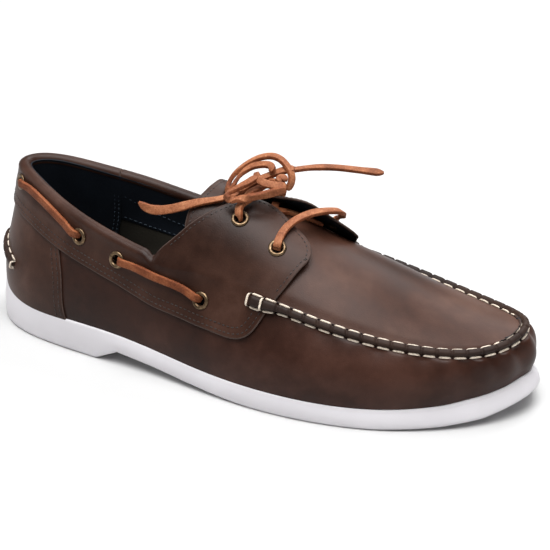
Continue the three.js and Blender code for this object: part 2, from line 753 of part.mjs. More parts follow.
// The bar over the tabs, from one front eyelet to the other. Points are [x, y, z].
const OVER_TABS = [
  [177.5, -24.6, 74.6], [177.4, -20.3, 77.7], [178.3, -13.5, 80.5], [181, -6.5, 82.1], [185.3, 0, 83],
  [190, 6.6, 82.3], [193.4, 11.6, 80.8], [194, 15.8, 78], [192.2, 19.6, 74.6], [188.5, 23.2, 71.6],
];

const curveThrough = (list) => new THREE.CatmullRomCurve3(list.map((p) => V(...p)), false, "centripetal");

function barOverTabs() {
  const points = curveThrough(OVER_TABS).getPoints(18);
  return loft(laceAlong(points, points.map(() => V(0.2, 0, 1).normalize())));
}

// The two lengths that cross between the tongue and the tabs, joined where they cross. Each goes from
// the outer to the inner side: at is the share of the length, out how far from the crown it is.
const UNDER_TABS = [
  [{ at: 0.53, out: -0.33 }, { at: 0.542, out: -0.05 }, { at: 0.558, out: 0.13 }, { at: 0.582, out: 0.28 },
    { at: 0.612, out: 0.4 }],
  [{ at: 0.572, out: -0.38 }, { at: 0.548, out: -0.12 }, { at: 0.534, out: 0.1 }, { at: 0.53, out: 0.25 }],
];

function crossingUnderTabs() {
  const bars = UNDER_TABS.map((route) => {
    const flat = new THREE.CatmullRomCurve3(route.map(({ at, out }) => V(at, out, 0)));
    const places = flat.getPoints(2 * (route.length - 1)).map(({ x: at, y: out }) => {
      const turn = turnAt(out < 0 ? "lateral" : "medial", at);
      const up = 2 - Math.abs(out);
      return { point: skin(turn, up, GAP + 0.1 + LACE.thick / 2), face: normalAt(turn, up) };
    });
    return toSolid(loft(laceAlong(places.map((place) => place.point), places.map((place) => place.face))));
  });
  return fromSolid(bars[0].add(bars[1]));
}

// ---------------------------------------------------------------- the bow
// The free parts of the lace, each a route of [x, y, z] points from the knot's side.
const KNOT = { middle: [162, 2, 92.4], radii: [6, 5.4, 4.4] };
const BOW = {
  lace_rise_lateral: [[155.6, -20.2, 84.4], [154.9, -19, 86.2], [154.8, -16.8, 87.9], [156, -13.6, 89.1],
    [158, -10, 90.2]],
  lace_rise_medial: [[160.2, 19.8, 82.6], [160, 18.8, 86.2], [159.8, 15.4, 89.2], [159.8, 11.2, 90.2]],
  lace_end_left: [[151, -3, 90.3], [147.6, -6.4, 88.6], [143.5, -10, 87.4], [139.6, -13, 86.6],
    [132.4, -17, 85.6], [125.1, -21, 83.6], [115.7, -25, 81.6], [109.7, -28, 82.8], [106.4, -30, 86.1]],
  lace_end_right: [[165.8, 9.8, 98.2], [168.2, 13, 97.6], [173.6, 20, 97], [181.4, 27, 96.2],
    [189.1, 33, 94.6], [197.3, 38, 93], [205.3, 42, 91.8]],
  lace_loop_near: [[158.2, -6, 99.3], [156.6, -9, 98], [153, -13, 95.9], [149.5, -17, 93.9],
    [148.5, -19.5, 92.7], [150.2, -19.5, 91.5], [154, -18, 91.4], [158.7, -15.5, 92.1], [164, -12, 93],
    [169.3, -8.5, 94.2], [173.1, -5, 94.9]],
  lace_loop_far: [[170.6, 2, 91.5], [171.9, 3.5, 94.8], [171.2, 5.5, 98.3], [168, 7.5, 101.4],
    [163.9, 9, 103.7], [159.4, 9.5, 104.5], [154.5, 9, 103.6], [149.6, 7.5, 101.4], [145.1, 5, 98.1],
    [141.9, 2, 94.6], [140.5, -1, 91], [141.3, -4, 89.2], [144.1, -6.5, 89.6], [145.2, -5, 92.2],
    [146, -2, 95], [147.6, 1, 97.3], [151, 3.5, 99.8], [155.4, 5, 101.1], [160, 4.5, 101.7],
    [162.1, 3, 101], [161.8, 1.5, 99.6]],
};
const FREE_LACE = 3.2; // the free lace's tube is as wide as this
const LACE_STEP = 8;
const LACE_SIDES = 8;

function laceTube(route) {
  const curve = curveThrough(route);
  const section = new THREE.Shape(
    Array.from({ length: LACE_SIDES }, (_, i) => {
      const turn = (2 * Math.PI * (i + 0.5)) / LACE_SIDES;
      return new THREE.Vector2(Math.cos(turn), Math.sin(turn)).multiplyScalar(FREE_LACE / 2);
    }),
  );
  const steps = Math.max(4, Math.round(curve.getLength() / LACE_STEP));
  return facedOut(joined(new THREE.ExtrudeGeometry(section, { steps, extrudePath: curve, bevelEnabled: false })));
}

function knot() {
  const ball = new THREE.SphereGeometry(1, 10, 7).scale(...KNOT.radii).translate(...KNOT.middle);
  return facedOut(joined(ball));
}

// ---------------------------------------------------------------- the shoe
const FINISH = {
  leather: { color: 0x3b2620, roughness: 0.5, metalness: 0 },
  darkLeather: { color: 0x33211c, roughness: 0.55, metalness: 0 },
  rubber: { color: 0xdedbdd, roughness: 0.7, metalness: 0 },
  lining: { color: 0x14161c, roughness: 0.8, metalness: 0 },
  rawhide: { color: 0xb0643a, roughness: 0.7, metalness: 0 },
  brass: { color: 0x8a7440, roughness: 0.4, metalness: 1 },
};

const shoe = new THREE.Group();
shoe.position.set(-MIDDLE.x, -MIDDLE.y, 0);

function add(name, geometry, finish) {
  const mesh = new THREE.Mesh(geometry, new THREE.MeshStandardMaterial(FINISH[finish]));
  mesh.name = name;
  shoe.add(mesh);
  return mesh;
}

add("outsole", outsole(), "rubber");
add("insole", insole(), "lining");
add("upper", drilled(upper(), SIDES), "leather");
add("tongue", tongue(), "leather");
for (const side of SIDES) add(`collar_${side}`, drilled(collarPiece(collarTurns(side)), SIDES), "leather");
add("moc_seam", mocSeam(), "darkLeather");
add("heel_seam", heelSeam(), "darkLeather");
for (const side of SIDES) {
  const [first, second, third, fourth] = HOLES[side];
  add(`side_lace_${side}_rear`, sideLace(side, first, second), "rawhide");
  add(`side_lace_${side}_front`, sideLace(side, third, fourth), "rawhide");
}
add("lace_over_tabs", barOverTabs(), "rawhide");
add("lace_under_tabs", crossingUnderTabs(), "rawhide");
add("lace_knot", knot(), "rawhide");
for (const [name, route] of Object.entries(BOW)) add(name, laceTube(route), "rawhide");
for (const side of SIDES) {
  HOLES[side].forEach((hole, i) => {
    const { point, facing } = holePlace(side, hole);
    const ring = add(`eyelet_${side}_${i + 1}`, eyelet(), "brass");
    ring.position.copy(point);
    ring.quaternion.copy(facing);
  });
}

export default shoe;
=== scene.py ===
import math

import bpy
import numpy as np
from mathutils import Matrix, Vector


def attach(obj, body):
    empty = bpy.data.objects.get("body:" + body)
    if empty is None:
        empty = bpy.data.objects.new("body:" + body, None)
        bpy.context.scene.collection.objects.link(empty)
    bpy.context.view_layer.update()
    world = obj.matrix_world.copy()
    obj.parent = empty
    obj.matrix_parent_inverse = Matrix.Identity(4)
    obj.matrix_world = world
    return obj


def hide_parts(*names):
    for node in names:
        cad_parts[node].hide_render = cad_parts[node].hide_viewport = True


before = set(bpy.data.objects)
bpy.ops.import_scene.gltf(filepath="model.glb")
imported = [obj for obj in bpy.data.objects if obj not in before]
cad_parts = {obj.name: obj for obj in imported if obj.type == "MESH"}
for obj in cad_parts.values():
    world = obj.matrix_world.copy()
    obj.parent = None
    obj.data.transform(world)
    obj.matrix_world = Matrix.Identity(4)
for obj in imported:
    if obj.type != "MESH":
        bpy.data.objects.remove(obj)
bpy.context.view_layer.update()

# A man's boat shoe, right foot, in oiled brown leather on a white unit sole.
# Sizes are in millimetres in the last's own frame: x = 0 at the back of the heel, x = 300 at the toe,
# +y on the inner (medial) side and z = 0 on the floor. Only metres() leaves that frame.

# ---------------------------------------------------------------- camera, floor and light
CAMERA = {"azimuth": 25.0, "elevation": 26.53, "distance": 0.62, "aim": (0.0013, 0.0252, 0.0307)}
LENS = {"lens": 76.8, "sensor_width": 36.0, "clip_start": 0.01}
# Large square lamps: azimuth and elevation in degrees, distance and size in metres, power in watts.
SOFTBOXES = {
    "softbox_over": (20, 80, 1.25, 1.0, 28),
    "softbox_back": (178, 46, 1.4, 1.0, 12),
    "softbox_left": (-75, 30, 1.4, 0.7, 2),
}
SKY_STRENGTH = 0.24
FLOOR_HALF = 4.0


def linear(code):
    """A colour written as sRGB hex, as linear RGBA."""
    parts = [int(code[i:i + 2], 16) / 255 for i in (1, 3, 5)]
    return (*[c / 12.92 if c <= 0.04045 else ((c + 0.055) / 1.055) ** 2.4 for c in parts], 1.0)


def aimed(name, data, azimuth, elevation, distance, aim=(0, 0, 0.04)):
    """Adds a camera or a lamp that looks at the aim from that direction."""
    a, e = math.radians(azimuth), math.radians(elevation)
    back = Vector((math.sin(a) * math.cos(e), -math.cos(a) * math.cos(e), math.sin(e)))
    holder = bpy.data.objects.new(name, data)
    holder.location = Vector(aim) + back * distance
    holder.rotation_mode = "QUATERNION"
    holder.rotation_quaternion = (-back).to_track_quat("-Z", "Y")
    bpy.context.scene.collection.objects.link(holder)
    return holder


def make_camera():
    camera = bpy.data.cameras.new("camera")
    for name, value in LENS.items():
        setattr(camera, name, value)
    bpy.context.scene.camera = aimed("camera", camera, **CAMERA)


def make_studio():
    scene = bpy.context.scene
    scene.view_settings.view_transform = "Standard"
    scene.world = bpy.data.worlds.new("studio")
    scene.world.use_nodes = True
    sky = scene.world.node_tree.nodes["Background"]
    sky.inputs["Color"].default_value = linear("#ffffff")
    sky.inputs["Strength"].default_value = SKY_STRENGTH
    for name, (azimuth, elevation, distance, size, power) in SOFTBOXES.items():
        lamp = bpy.data.lights.new(name, "AREA")
        lamp.size = size
        lamp.energy = power
        aimed(name, lamp, azimuth, elevation, distance)
    floor = bpy.data.objects.new("floor", bpy.data.meshes.new("floor"))
    corners = [(x * FLOOR_HALF, y * FLOOR_HALF, 0) for x, y in ((-1, -1), (1, -1), (1, 1), (-1, 1))]
    floor.data.from_pydata(corners, [], [(0, 1, 2, 3)])
    floor.data.materials.append(FINISH["floor"])
    scene.collection.objects.link(floor)


# ---------------------------------------------------------------- materials
def add(tree, kind, inputs=None, output=0, stops=(), **settings):
    """Adds a node with its settings, its inputs (values, or other nodes' outputs to link) and a colour
    ramp's stops (position, hex). Gives one of its outputs."""
    made = tree.nodes.new(kind)
    for name, value in settings.items():
        setattr(made, name, value)
    for name, value in (inputs or {}).items():
        if isinstance(value, bpy.types.NodeSocket):
            tree.links.new(value, made.inputs[name])
        else:
            made.inputs[name].default_value = value
    for _ in stops[2:]:
        made.color_ramp.elements.new(0.5)
    for number, (position, colour) in enumerate(stops):
        made.color_ramp.elements[number].position = position
        made.color_ramp.elements[number].color = linear(colour)
    return made.outputs[output]


def marks(tree, where, layers):
    """Layers of marks, added up. Each is the real size of a mark in millimetres, its weight, and the
    other inputs of its noise, or for round pores the share of their spacing that one fills."""
    total = None
    for size, weight, more in layers:
        inputs = {"Vector": where, "Scale": 1000 / size}
        if "pore" in more:
            cells = add(tree, "ShaderNodeTexVoronoi", inputs)
            layer = add(tree, "ShaderNodeMapRange", {"Value": cells, "From Max": more["pore"]})
        else:
            layer = add(tree, "ShaderNodeTexNoise", {**inputs, **more})
        if total is None:
            total = layer
        else:
            total = add(tree, "ShaderNodeMath", {0: layer, 1: weight, 2: total}, operation="MULTIPLY_ADD")
    return total


def finish(name, clouds, colours, relief=(), depth=0.0, spread=(0, 1), rough=None, **fixed):
    """A material with its shader's fixed sockets set. Its clouds, over their spread, choose among its
    colours and between the two values of rough, and its relief raises it by a depth in millimetres."""
    made = bpy.data.materials.new(name)
    made.use_nodes = True
    tree = made.node_tree
    shader = tree.nodes["Principled BSDF"]
    for socket, value in fixed.items():
        shader.inputs[socket.replace("_", " ")].default_value = value
    where = add(tree, "ShaderNodeTexCoord", output="Object")
    inputs = {"Value": marks(tree, where, clouds), "From Min": spread[0], "From Max": spread[1]}
    factor = add(tree, "ShaderNodeMapRange", inputs)
    colour = add(tree, "ShaderNodeValToRGB", {"Fac": factor}, stops=colours)
    tree.links.new(colour, shader.inputs["Base Color"])
    if rough:
        inputs = {"Value": factor, "To Min": rough[0], "To Max": rough[1]}
        tree.links.new(add(tree, "ShaderNodeMapRange", inputs), shader.inputs["Roughness"])
    if relief:
        inputs = {"Height": marks(tree, where, relief), "Distance": depth / 1000, "Strength": 1.0}
        tree.links.new(add(tree, "ShaderNodeBump", inputs), shader.inputs["Normal"])
    return made


def oiled_leather(name, dark, middle, light, gloss):
    # Full-grain pull-up leather, drummed with oil: broad soft clouds where it was stretched over the
    # last, a fine closed grain, and a waxy shine that is weak face on and broad at a slant. Real pores
    # are 0.2 mm apart, drawn coarser so that they show.
    clouds = [(60, 1, {"Distortion": 0.3}), (9, 0.4, {"Detail": 4, "Roughness": 0.6})]
    grain = [(0.9, 1, {"pore": 0.4}), (0.5, 1, {"Detail": 3})]
    return finish(name, clouds, [(0, dark), (0.5, middle), (1, light)], grain, 0.03, (0.5, 0.95),
                  (gloss, gloss + 0.1), IOR=1.45, Specular_IOR_Level=0.2)


def inked_edge():
    # The raw cut edge of the same leather, darkened with edge ink: paler, fibrous and quite dull.
    fibres = [(0.9, 1, {"Detail": 4, "Roughness": 0.7})]
    return finish("inked_leather_edge", fibres, [(0.3, "#2b1e19"), (0.7, "#4d3930")], fibres, 0.1,
                  IOR=1.45, Roughness=0.72)


def lining_leather(name, dark, light):
    # Pigskin lining: smooth and matt, with small pores in groups.
    return finish(name, [(25, 1, {})], [(0.3, dark), (0.75, light)], [(1.6, 1, {"pore": 0.3})], 0.05,
                  IOR=1.45, Roughness=0.62, Specular_IOR_Level=0.3)


def sole_rubber():
    # Moulded white rubber: a very pale grey, faintly violet in shade, with the mould's dry satin.
    return finish("moulded_white_rubber", [(30, 1, {"Detail": 3})], [(0.3, "#d5d2d6"), (0.7, "#dcd9dd")],
                  [(0.7, 1, {"Detail": 3})], 0.015, IOR=1.52, Roughness=0.58)


def rawhide(name, dark, middle, light):
    # Oil-tanned rawhide lace, cut from the hide: rust brown, streaked along its fibres, with a nap that
    # is paler on the corners and almost no shine.
    nap = (0.8, 1, {"Detail": 5, "Roughness": 0.7, "Distortion": 0.5})
    return finish(name, [(9, 1, {"Detail": 4, "Roughness": 0.6}), nap],
                  [(0.1, dark), (0.5, middle), (0.9, light)], [nap], 0.12, (0.7, 1.3),
                  IOR=1.45, Roughness=0.66, Specular_IOR_Level=0.3)


def antique_brass():
    # Stamped brass, darkened in the hollows and rubbed bright on the rim.
    patches = [(2.2, 1, {"Detail": 4, "Roughness": 0.65})]
    return finish("antique_brass", patches, [(0.3, "#43362a"), (0.55, "#735f49"), (0.8, "#a48d70")],
                  patches, 0.04, rough=(0.5, 0.3), Metallic=1.0)


def thread(name, dark, light, roughness):
    # Waxed thread of three plies, which show as fine bands along each stitch.
    plies = [(0.6, 1, {"Detail": 3, "Roughness": 0.6})]
    return finish(name, plies, [(0.3, dark), (0.7, light)], plies, 0.1, IOR=1.5, Roughness=roughness)


def painted_hole_shade():
    # Painted shade for the inside of an awl hole: a near-black finish that stands for the shadow in the hole
    # and sends almost no light back.
    return finish("painted_hole_shade", [(1, 1, {})], [(0.3, "#0b0706"), (0.7, "#140d0b")], IOR=1.3, Roughness=0.9)


def studio_paper():
    # A sheet of white paper that glows with painted light, more strongly away from the shoe, so that it stays
    # pale past the lamps' reach.
    made = finish("white_paper_floor", [(400, 1, {})], [(0.3, "#c6c6c6"), (0.7, "#c9c9c9")],
                  Roughness=0.9, Emission_Color=linear("#ffffff"))
    tree = made.node_tree
    where = add(tree, "ShaderNodeTexCoord", output="Object")
    away = add(tree, "ShaderNodeVectorMath", {0: where}, "Value", operation="LENGTH")
    # Painted light: emission that rises from nothing 0.4 m out to half strength 1.3 m out.
    painted_glow = add(tree, "ShaderNodeMapRange", {"Value": away, "From Min": 0.4, "From Max": 1.3, "To Max": 0.5})
    tree.links.new(painted_glow, tree.nodes["Principled BSDF"].inputs["Emission Strength"])
    return made


FINISH = {
    "leather": oiled_leather("oiled_brown_leather", "#22110b", "#311b13", "#452b22", 0.35),
    # Painted light: a paler copy of the same leather for the collar, the tongue and the heel counter's face,
    # standing for the overhead light they catch.
    "leather_painted_light": oiled_leather("oiled_brown_leather_painted_light", "#27150e", "#3a241b", "#4e362d", 0.37),
    # Painted light: the plug's copy of the wall's leather is made paler, standing for the overhead light on
    # its upward face.
    "vamp": oiled_leather("oiled_vamp_leather_painted_light", "#2f1b14", "#41281e", "#543a2f", 0.36),
    "ridge": oiled_leather("rolled_ridge_leather", "#1f1512", "#2b1e19", "#3a2a22", 0.5),
    "edge": inked_edge(),
    "lining": lining_leather("navy_pigskin_lining", "#10141a", "#1d232c"),
    "lining_low": lining_leather("olive_pigskin_lining", "#26231d", "#3b372f"),
    "rubber": sole_rubber(),
    "rawhide": rawhide("rawhide_lace", "#683921", "#8c5334", "#ae7450"),
    # Painted shade: a darker copy of the lace for the side laces, which stand upright, away from the overhead
    # light.
    "rawhide_side": rawhide("rawhide_lace_painted_shade", "#542812", "#6e391d", "#875031"),
    "rawhide_cut": rawhide("rawhide_lace_cut_side", "#5c2e17", "#7c4224", "#9c5f3b"),
    "brass": antique_brass(),
    "cream_thread": thread("waxed_cream_thread", "#bba996", "#efe3d2", 0.6),
    "brown_thread": thread("waxed_brown_thread", "#130c0a", "#2c201b", 0.5),
    "navy_thread": thread("navy_lining_thread", "#1c2630", "#3b4855", 0.6),
    "hole": painted_hole_shade(),
    "floor": studio_paper(),
}

# ---------------------------------------------------------------- the last
MIDDLE = np.array([151.2, 1.6, 0.0])  # the frame's origin, in the last's own frame
SOLE_X = (3.5, 299.0)  # outsole, heel to toe
FEATHER_X = (6.0, 294.5)  # line where the upper meets the sole
RIM_X = (20.0, 287.6)  # collar's top line at the back, moccasin seam in front
LEATHER = 2.2  # the upper's leather and lining together
ROLL = 3.2  # radius of the collar's padded roll
ROLL_SHOULDER = 2.4  # how far the wall's top is drawn out and down under the roll
# Between which shares of the length the roll fades out into the flat tab, for each of its parts.
ROLL_FADES = {"wall": (0.36, 0.46), "bend": (0.333, 0.388), "leather": (0.34, 0.38), "lining": (0.33, 0.41)}
# How thick each leather is made; one that lies under another is thinner than the real one.
THICK = {"collar": 1.2, "wall": 1.4, "plug": 1.6, "counter": 0.85, "lining": 0.6, "tongue": 1.6}
THROAT = 0.54  # share of the length where the vamp's plug starts
UP = np.array([0.0, 0.0, 1.0])


def columns(names, rows):
    """A short table, as one array for each named column."""
    return dict(zip(names.split(), np.array(rows, float).T))


# Sections of the last. at: share of the length from heel to toe. sole: half outline of the tread on
# the outer and inner side. rim: the collar's top line, then the moccasin seam.
SECTIONS = columns("at sole_out sole_in rim_out rim_in rim_z", [
    (0.0, 0, 0, 0, 0, 85.2),
    (0.02, -18, 17.5, -8.7, 9.1, 84.7),
    (0.06, -30, 28.5, -15.2, 16.2, 82.2),
    (0.12, -37.5, 35, -21.8, 23.2, 77.5),
    (0.2, -41.5, 38, -28.5, 29.6, 72),
    (0.3, -44, 37, -33, 33.2, 65.8),
    (0.4, -46.3, 37, -35.2, 35, 60.8),
    (0.5, -50.4, 42.5, -36.3, 35.4, 57),
    (0.6, -52.8, 50.5, -37.2, 36.8, 52.5),
    (0.7, -51, 55.5, -36.2, 38.4, 46.8),
    (0.8, -43.8, 54, -31, 37.8, 41),
    (0.88, -32.4, 47, -23.8, 34.6, 37.7),
    (0.94, -19.5, 38, -15.6, 29.8, 36.6),
    (0.98, -6, 26.5, -5.9, 21.8, 37.9),
    (1.0, 10.5, 10.5, 7.7, 7.7, 40),
])
# The feather line: how far inside the tread's outline, its height, and the foot bed's height.
FEATHER = columns("at inset z bed", [
    (0.0, 2.6, 24.6, 17.8),
    (0.12, 1.6, 17.3, 16.9),
    (0.3, 1.7, 16.9, 16.5),
    (0.45, 2.1, 12.3, 12),
    (0.6, 1.9, 10.6, 10.3),
    (0.75, 2.1, 9.7, 9.4),
    (0.88, 2.6, 11, 10.3),
    (0.95, 3.1, 14.2, 11.6),
    (1.0, 3.4, 18.6, 13.6),
])
# The tread's height: heel block, slanted breast, waist, ball of the foot and toe spring.
TREAD = columns("at z", [
    (0.0, 0), (0.27, 0), (0.315, 6.8), (0.38, 4.9), (0.45, 2.6), (0.53, 0.7), (0.58, 0), (0.78, 0),
    (0.88, 1.3), (0.94, 3.5), (1.0, 9.3),
])
# The crown of the instep, over the middle of the foot.
CROWN = columns("at z", [
    (0.35, 92), (0.45, 87), (0.55, 79), (0.65, 68.5), (0.75, 59), (0.85, 48.5), (0.93, 42.3), (1.0, 40),
])
# How the side wall bulges, low and high, and the share of its height over which each acts.
WALL = columns("at low low_rise high high_drop", [
    (0.0, 0.3, 0.3, 2.2, 0.36),
    (0.12, 1, 0.3, 2.2, 0.34),
    (0.3, 2, 0.3, 2, 0.34),
    (0.45, 3, 0.32, 3.5, 0.32),
    (0.6, 4, 0.4, 6, 0.26),
    (0.75, 4.5, 0.42, 8, 0.2),
    (0.88, 4.5, 0.45, 8, 0.16),
    (1.0, 4, 0.5, 7, 0.14),
])


def angle_at(share):
    return np.arccos(np.clip(1 - 2 * np.asarray(share, float), -1, 1))


def share_of(angle):
    return (1 - np.cos(angle)) / 2


def between(low, high, t):
    return low + (high - low) * t


def ease(value, start, end):
    t = np.clip((value - start) / (end - start), 0, 1)
    return t * t * (3 - 2 * t)


def unit(v):
    return v / np.maximum(np.linalg.norm(v, axis=-1, keepdims=True), 1e-12)


def cubic(x, y, level=False):
    """A cubic spline through y at x, as a function: level at both ends, or straight there."""
    x = np.asarray(x, float)
    y = np.asarray(y, float)
    n = len(x)
    wide = np.diff(x)
    slope = np.diff(y, axis=0) / wide.reshape(-1, *[1] * (y.ndim - 1))
    rows = np.zeros((n, n))
    right = np.zeros_like(y)
    for i in range(1, n - 1):
        rows[i, i - 1:i + 2] = wide[i - 1], 2 * (wide[i - 1] + wide[i]), wide[i]
        right[i] = 6 * (slope[i] - slope[i - 1])
    rows[0, 0] = rows[-1, -1] = 1
    if level:
        rows[0, :2] = 2 * wide[0], wide[0]
        rows[-1, -2:] = wide[-1], 2 * wide[-1]
        right[0] = 6 * slope[0]
        right[-1] = -6 * slope[-1]
    bend = np.linalg.solve(rows, right.reshape(n, -1)).reshape(y.shape)

    def value(where):
        where = np.asarray(where, float)
        i = np.clip(np.searchsorted(x, where) - 1, 0, n - 2)
        grow = where.shape + (1,) * (y.ndim - 1)
        b = ((where - x[i]) / wide[i]).reshape(grow)
        a = 1 - b
        curved = (a ** 3 - a) * bend[i] + (b ** 3 - b) * bend[i + 1]
        return a * y[i] + b * y[i + 1] + curved * (wide[i] ** 2).reshape(grow) / 6

    return value


def curve_of(table, column, level=True):
    return cubic(angle_at(table["at"]), table[column], level)


sole_y = {-1: curve_of(SECTIONS, "sole_out", False), 1: curve_of(SECTIONS, "sole_in", False)}
rim_y = {-1: curve_of(SECTIONS, "rim_out", False), 1: curve_of(SECTIONS, "rim_in", False)}
rim_z = curve_of(SECTIONS, "rim_z")
inset_of = curve_of(FEATHER, "inset")
feather_z = curve_of(FEATHER, "z")
bed_z = curve_of(FEATHER, "bed")
crown_z = curve_of(CROWN, "z")
bulge = {name: curve_of(WALL, name) for name in ("low", "low_rise", "high", "high_drop")}


def points(x, y, z):
    return np.stack(np.broadcast_arrays(x, y, z), -1).astype(float)


def wrap(turn):
    return (turn + math.pi) % (2 * math.pi) - math.pi


def by_side(curves, turn):
    return np.where(turn < 0, curves[-1](np.abs(turn)), curves[1](np.abs(turn)))


def along(ends, angle):
    return between(ends[0], ends[1], share_of(angle))


def feather_point(turn):
    a = np.abs(turn)
    inset = np.where(turn < 0, -1, 1) * inset_of(a) * np.tanh(3 * np.sin(a))
    return points(along(FEATHER_X, a), by_side(sole_y, turn) - inset, feather_z(a))


def tread_point(turn):
    a = np.abs(turn)
    height = np.interp(share_of(a), TREAD["at"], TREAD["z"])
    return points(along(SOLE_X, a), by_side(sole_y, turn), height)


def rim_point(turn):
    a = np.abs(turn)
    return points(along(RIM_X, a), by_side(rim_y, turn), rim_z(a))


def outwards(turn):
    """The level direction straight out of the shoe's outline."""
    step = 1e-3
    run = feather_point(wrap(turn + step)) - feather_point(wrap(turn - step))
    return unit(points(-run[..., 1], run[..., 0], 0 * run[..., 0]))


def wall_point(turn, up):
    a = np.abs(turn)
    out = outwards(turn)
    roll = (1 - ease(share_of(a), *ROLL_FADES["wall"]))[..., None] * ROLL_SHOULDER
    foot = feather_point(turn)
    top = rim_point(turn) + roll * (out - UP)
    height = (top - foot)[..., 2]
    low = foot + out * bulge["low"](a)[..., None] + UP * (bulge["low_rise"](a) * height)[..., None]
    high = top + out * bulge["high"](a)[..., None] - UP * (bulge["high_drop"](a) * height)[..., None]
    t = up[..., None]
    return foot * (1 - t) ** 3 + low * 3 * t * (1 - t) ** 2 + high * 3 * t * t * (1 - t) + top * t ** 3


def instep_point(turn, up):
    a = np.abs(turn)
    share_across = np.where(turn < 0, up - 2, 2 - up)
    outer = rim_point(-a)
    inner = rim_point(a)
    y = between(outer[..., 1], inner[..., 1], (share_across + 1) / 2)
    return points(outer[..., 0], y, between(outer[..., 2], crown_z(a), 1 - share_across ** 2))


def last_point(turn, up):
    """turn: 0 at the back, +-pi at the toe, above 0 on the inner side. up: 0 feather, 1 rim, 2 crown."""
    turn, up = np.broadcast_arrays(np.asarray(turn, float), np.asarray(up, float))
    turn = np.where(up > 2, -turn, turn)
    up = np.where(up > 2, 4 - up, up)
    on_wall = (up <= 1)[..., None]
    return np.where(on_wall, wall_point(turn, np.clip(up, -0.1, 1)), instep_point(turn, np.maximum(up, 1)))


def normal_at(turn, up):
    step = 2e-3
    turn, up = np.broadcast_arrays(np.asarray(turn, float), np.asarray(up, float))
    around = last_point(wrap(turn + step), up) - last_point(wrap(turn - step), up)
    rise = last_point(turn, up + step) - last_point(turn, up - step)
    return unit(np.cross(rise, around))


def skin(turn, up, offset):
    return last_point(turn, up) + normal_at(turn, up) * np.asarray(offset, float)[..., None]


SIDES = {"lateral": -1, "medial": 1}


# ---------------------------------------------------------------- meshes
def metres(place):
    return (np.asarray(place, float) - MIDDLE) / 1000


def mesh_piece(name, places, faces, finishes, slot, nodes=(), face_finish=None):
    """A piece that rides on the shoe and stands for CAD nodes, from points in the last's frame."""
    mesh = bpy.data.meshes.new(name)
    mesh.from_pydata(metres(places).tolist(), [], faces)
    for key in finishes:
        mesh.materials.append(FINISH[key])
    if face_finish is not None:
        mesh.polygons.foreach_set("material_index", np.asarray(face_finish, dtype=np.int32))
    mesh.shade_smooth()
    mesh.update()
    piece = bpy.data.objects.new(name, mesh)
    bpy.context.scene.collection.objects.link(piece)
    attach(piece, "root")
    if nodes:
        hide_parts(*nodes)
    return piece


def grid_quads(rows, cols, round_rows=False, round_cols=False, flip=False):
    """Quads between the points of a grid that is listed row by row."""
    i = np.arange(rows if round_rows else rows - 1)[:, None]
    j = np.arange(cols if round_cols else cols - 1)[None, :]
    below = (i + 1) % rows
    after = (j + 1) % cols
    corners = (i * cols + j, i * cols + after, below * cols + after, below * cols + j)
    quads = np.stack(np.broadcast_arrays(*corners), -1).reshape(-1, 4)
    return quads[:, ::-1] if flip else quads


def grid_normals(grid, flip=False):
    """Normals of a grid of points: rows cross columns, or the other way round."""
    n = unit(np.cross(np.gradient(grid, axis=0), np.gradient(grid, axis=1)))
    return -n if flip else n


EDGE_STEPS = 4  # faces round the cut edge of a piece of leather


def leather_sheet(name, grid, thick, finishes, nodes=(), slot="upper_leather", flip=False, quads=None,
                  normals=None):
    """A closed piece of leather from its outer face: its inner face at that thickness, and a rounded
    edge between them. finishes are those of the outer face, the inner face and the edge."""
    if quads is None:
        quads = grid_quads(*grid.shape[:2], flip=flip)
    if normals is None:
        normals = grid_normals(grid, not flip)
    outer = grid.reshape(-1, 3)
    normals = normals.reshape(-1, 3)
    inner = outer - normals * thick
    edges = quads[:, [0, 1, 1, 2, 2, 3, 3, 0]].reshape(-1, 2)
    _, first, count = np.unique(np.sort(edges, 1), axis=0, return_index=True, return_counts=True)
    rim = edges[first[count == 1]]
    after = np.zeros(len(outer), int)
    before = np.zeros(len(outer), int)
    after[rim[:, 0]] = rim[:, 1]
    before[rim[:, 1]] = rim[:, 0]
    ring = np.unique(rim[:, 0])
    side = unit(np.cross(outer[after[ring]] - outer[before[ring]], normals[ring]))
    place = np.zeros(len(outer), int)
    place[ring] = np.arange(len(ring))
    made = [outer, inner]
    levels = [ring]
    for k in range(1, EDGE_STEPS):
        turn = math.pi * k / EDGE_STEPS
        away = normals[ring] * math.cos(turn) + side * math.sin(turn)
        made.append((outer[ring] + inner[ring]) / 2 + away * thick / 2)
        levels.append(2 * len(outer) + (k - 1) * len(ring) + np.arange(len(ring)))
    levels.append(len(outer) + ring)
    faces = [quads, quads[:, ::-1] + len(outer)]
    a, b = place[rim[:, 0]], place[rim[:, 1]]
    for here, below in zip(levels, levels[1:]):
        faces.append(np.stack([here[b], here[a], below[a], below[b]], -1))
    which = np.repeat([0, 1, 2], [len(quads), len(quads), len(rim) * EDGE_STEPS])
    faces = np.concatenate(faces).tolist()
    mesh_piece(name, np.concatenate(made), faces, finishes, slot, nodes, which)


OTHER_WAY = [0, 3, 2, 1]  # a quad's corners from the same first one, the other way round


def rings_on(path, across, out, section, scale):
    """A section, points of (across, out), set at each point of a path and scaled there both ways."""
    return (path[:, None] + across[:, None] * section[None, :, :1] * scale[:, None, :1]
            + out[:, None] * section[None, :, 1:] * scale[:, None, 1:])


def tube(rings, flip=False):
    """The points and faces of a solid through rings of points, closed at both ends."""
    rows, cols = rings.shape[:2]
    quads = grid_quads(rows, cols, round_cols=True)
    faces = (quads[:, OTHER_WAY] if flip else quads).tolist()
    first = np.arange(cols)
    last = first + (rows - 1) * cols
    faces += [first.tolist(), last[::-1].tolist()] if flip else [first[::-1].tolist(), last.tolist()]
    return rings.reshape(-1, 3), faces


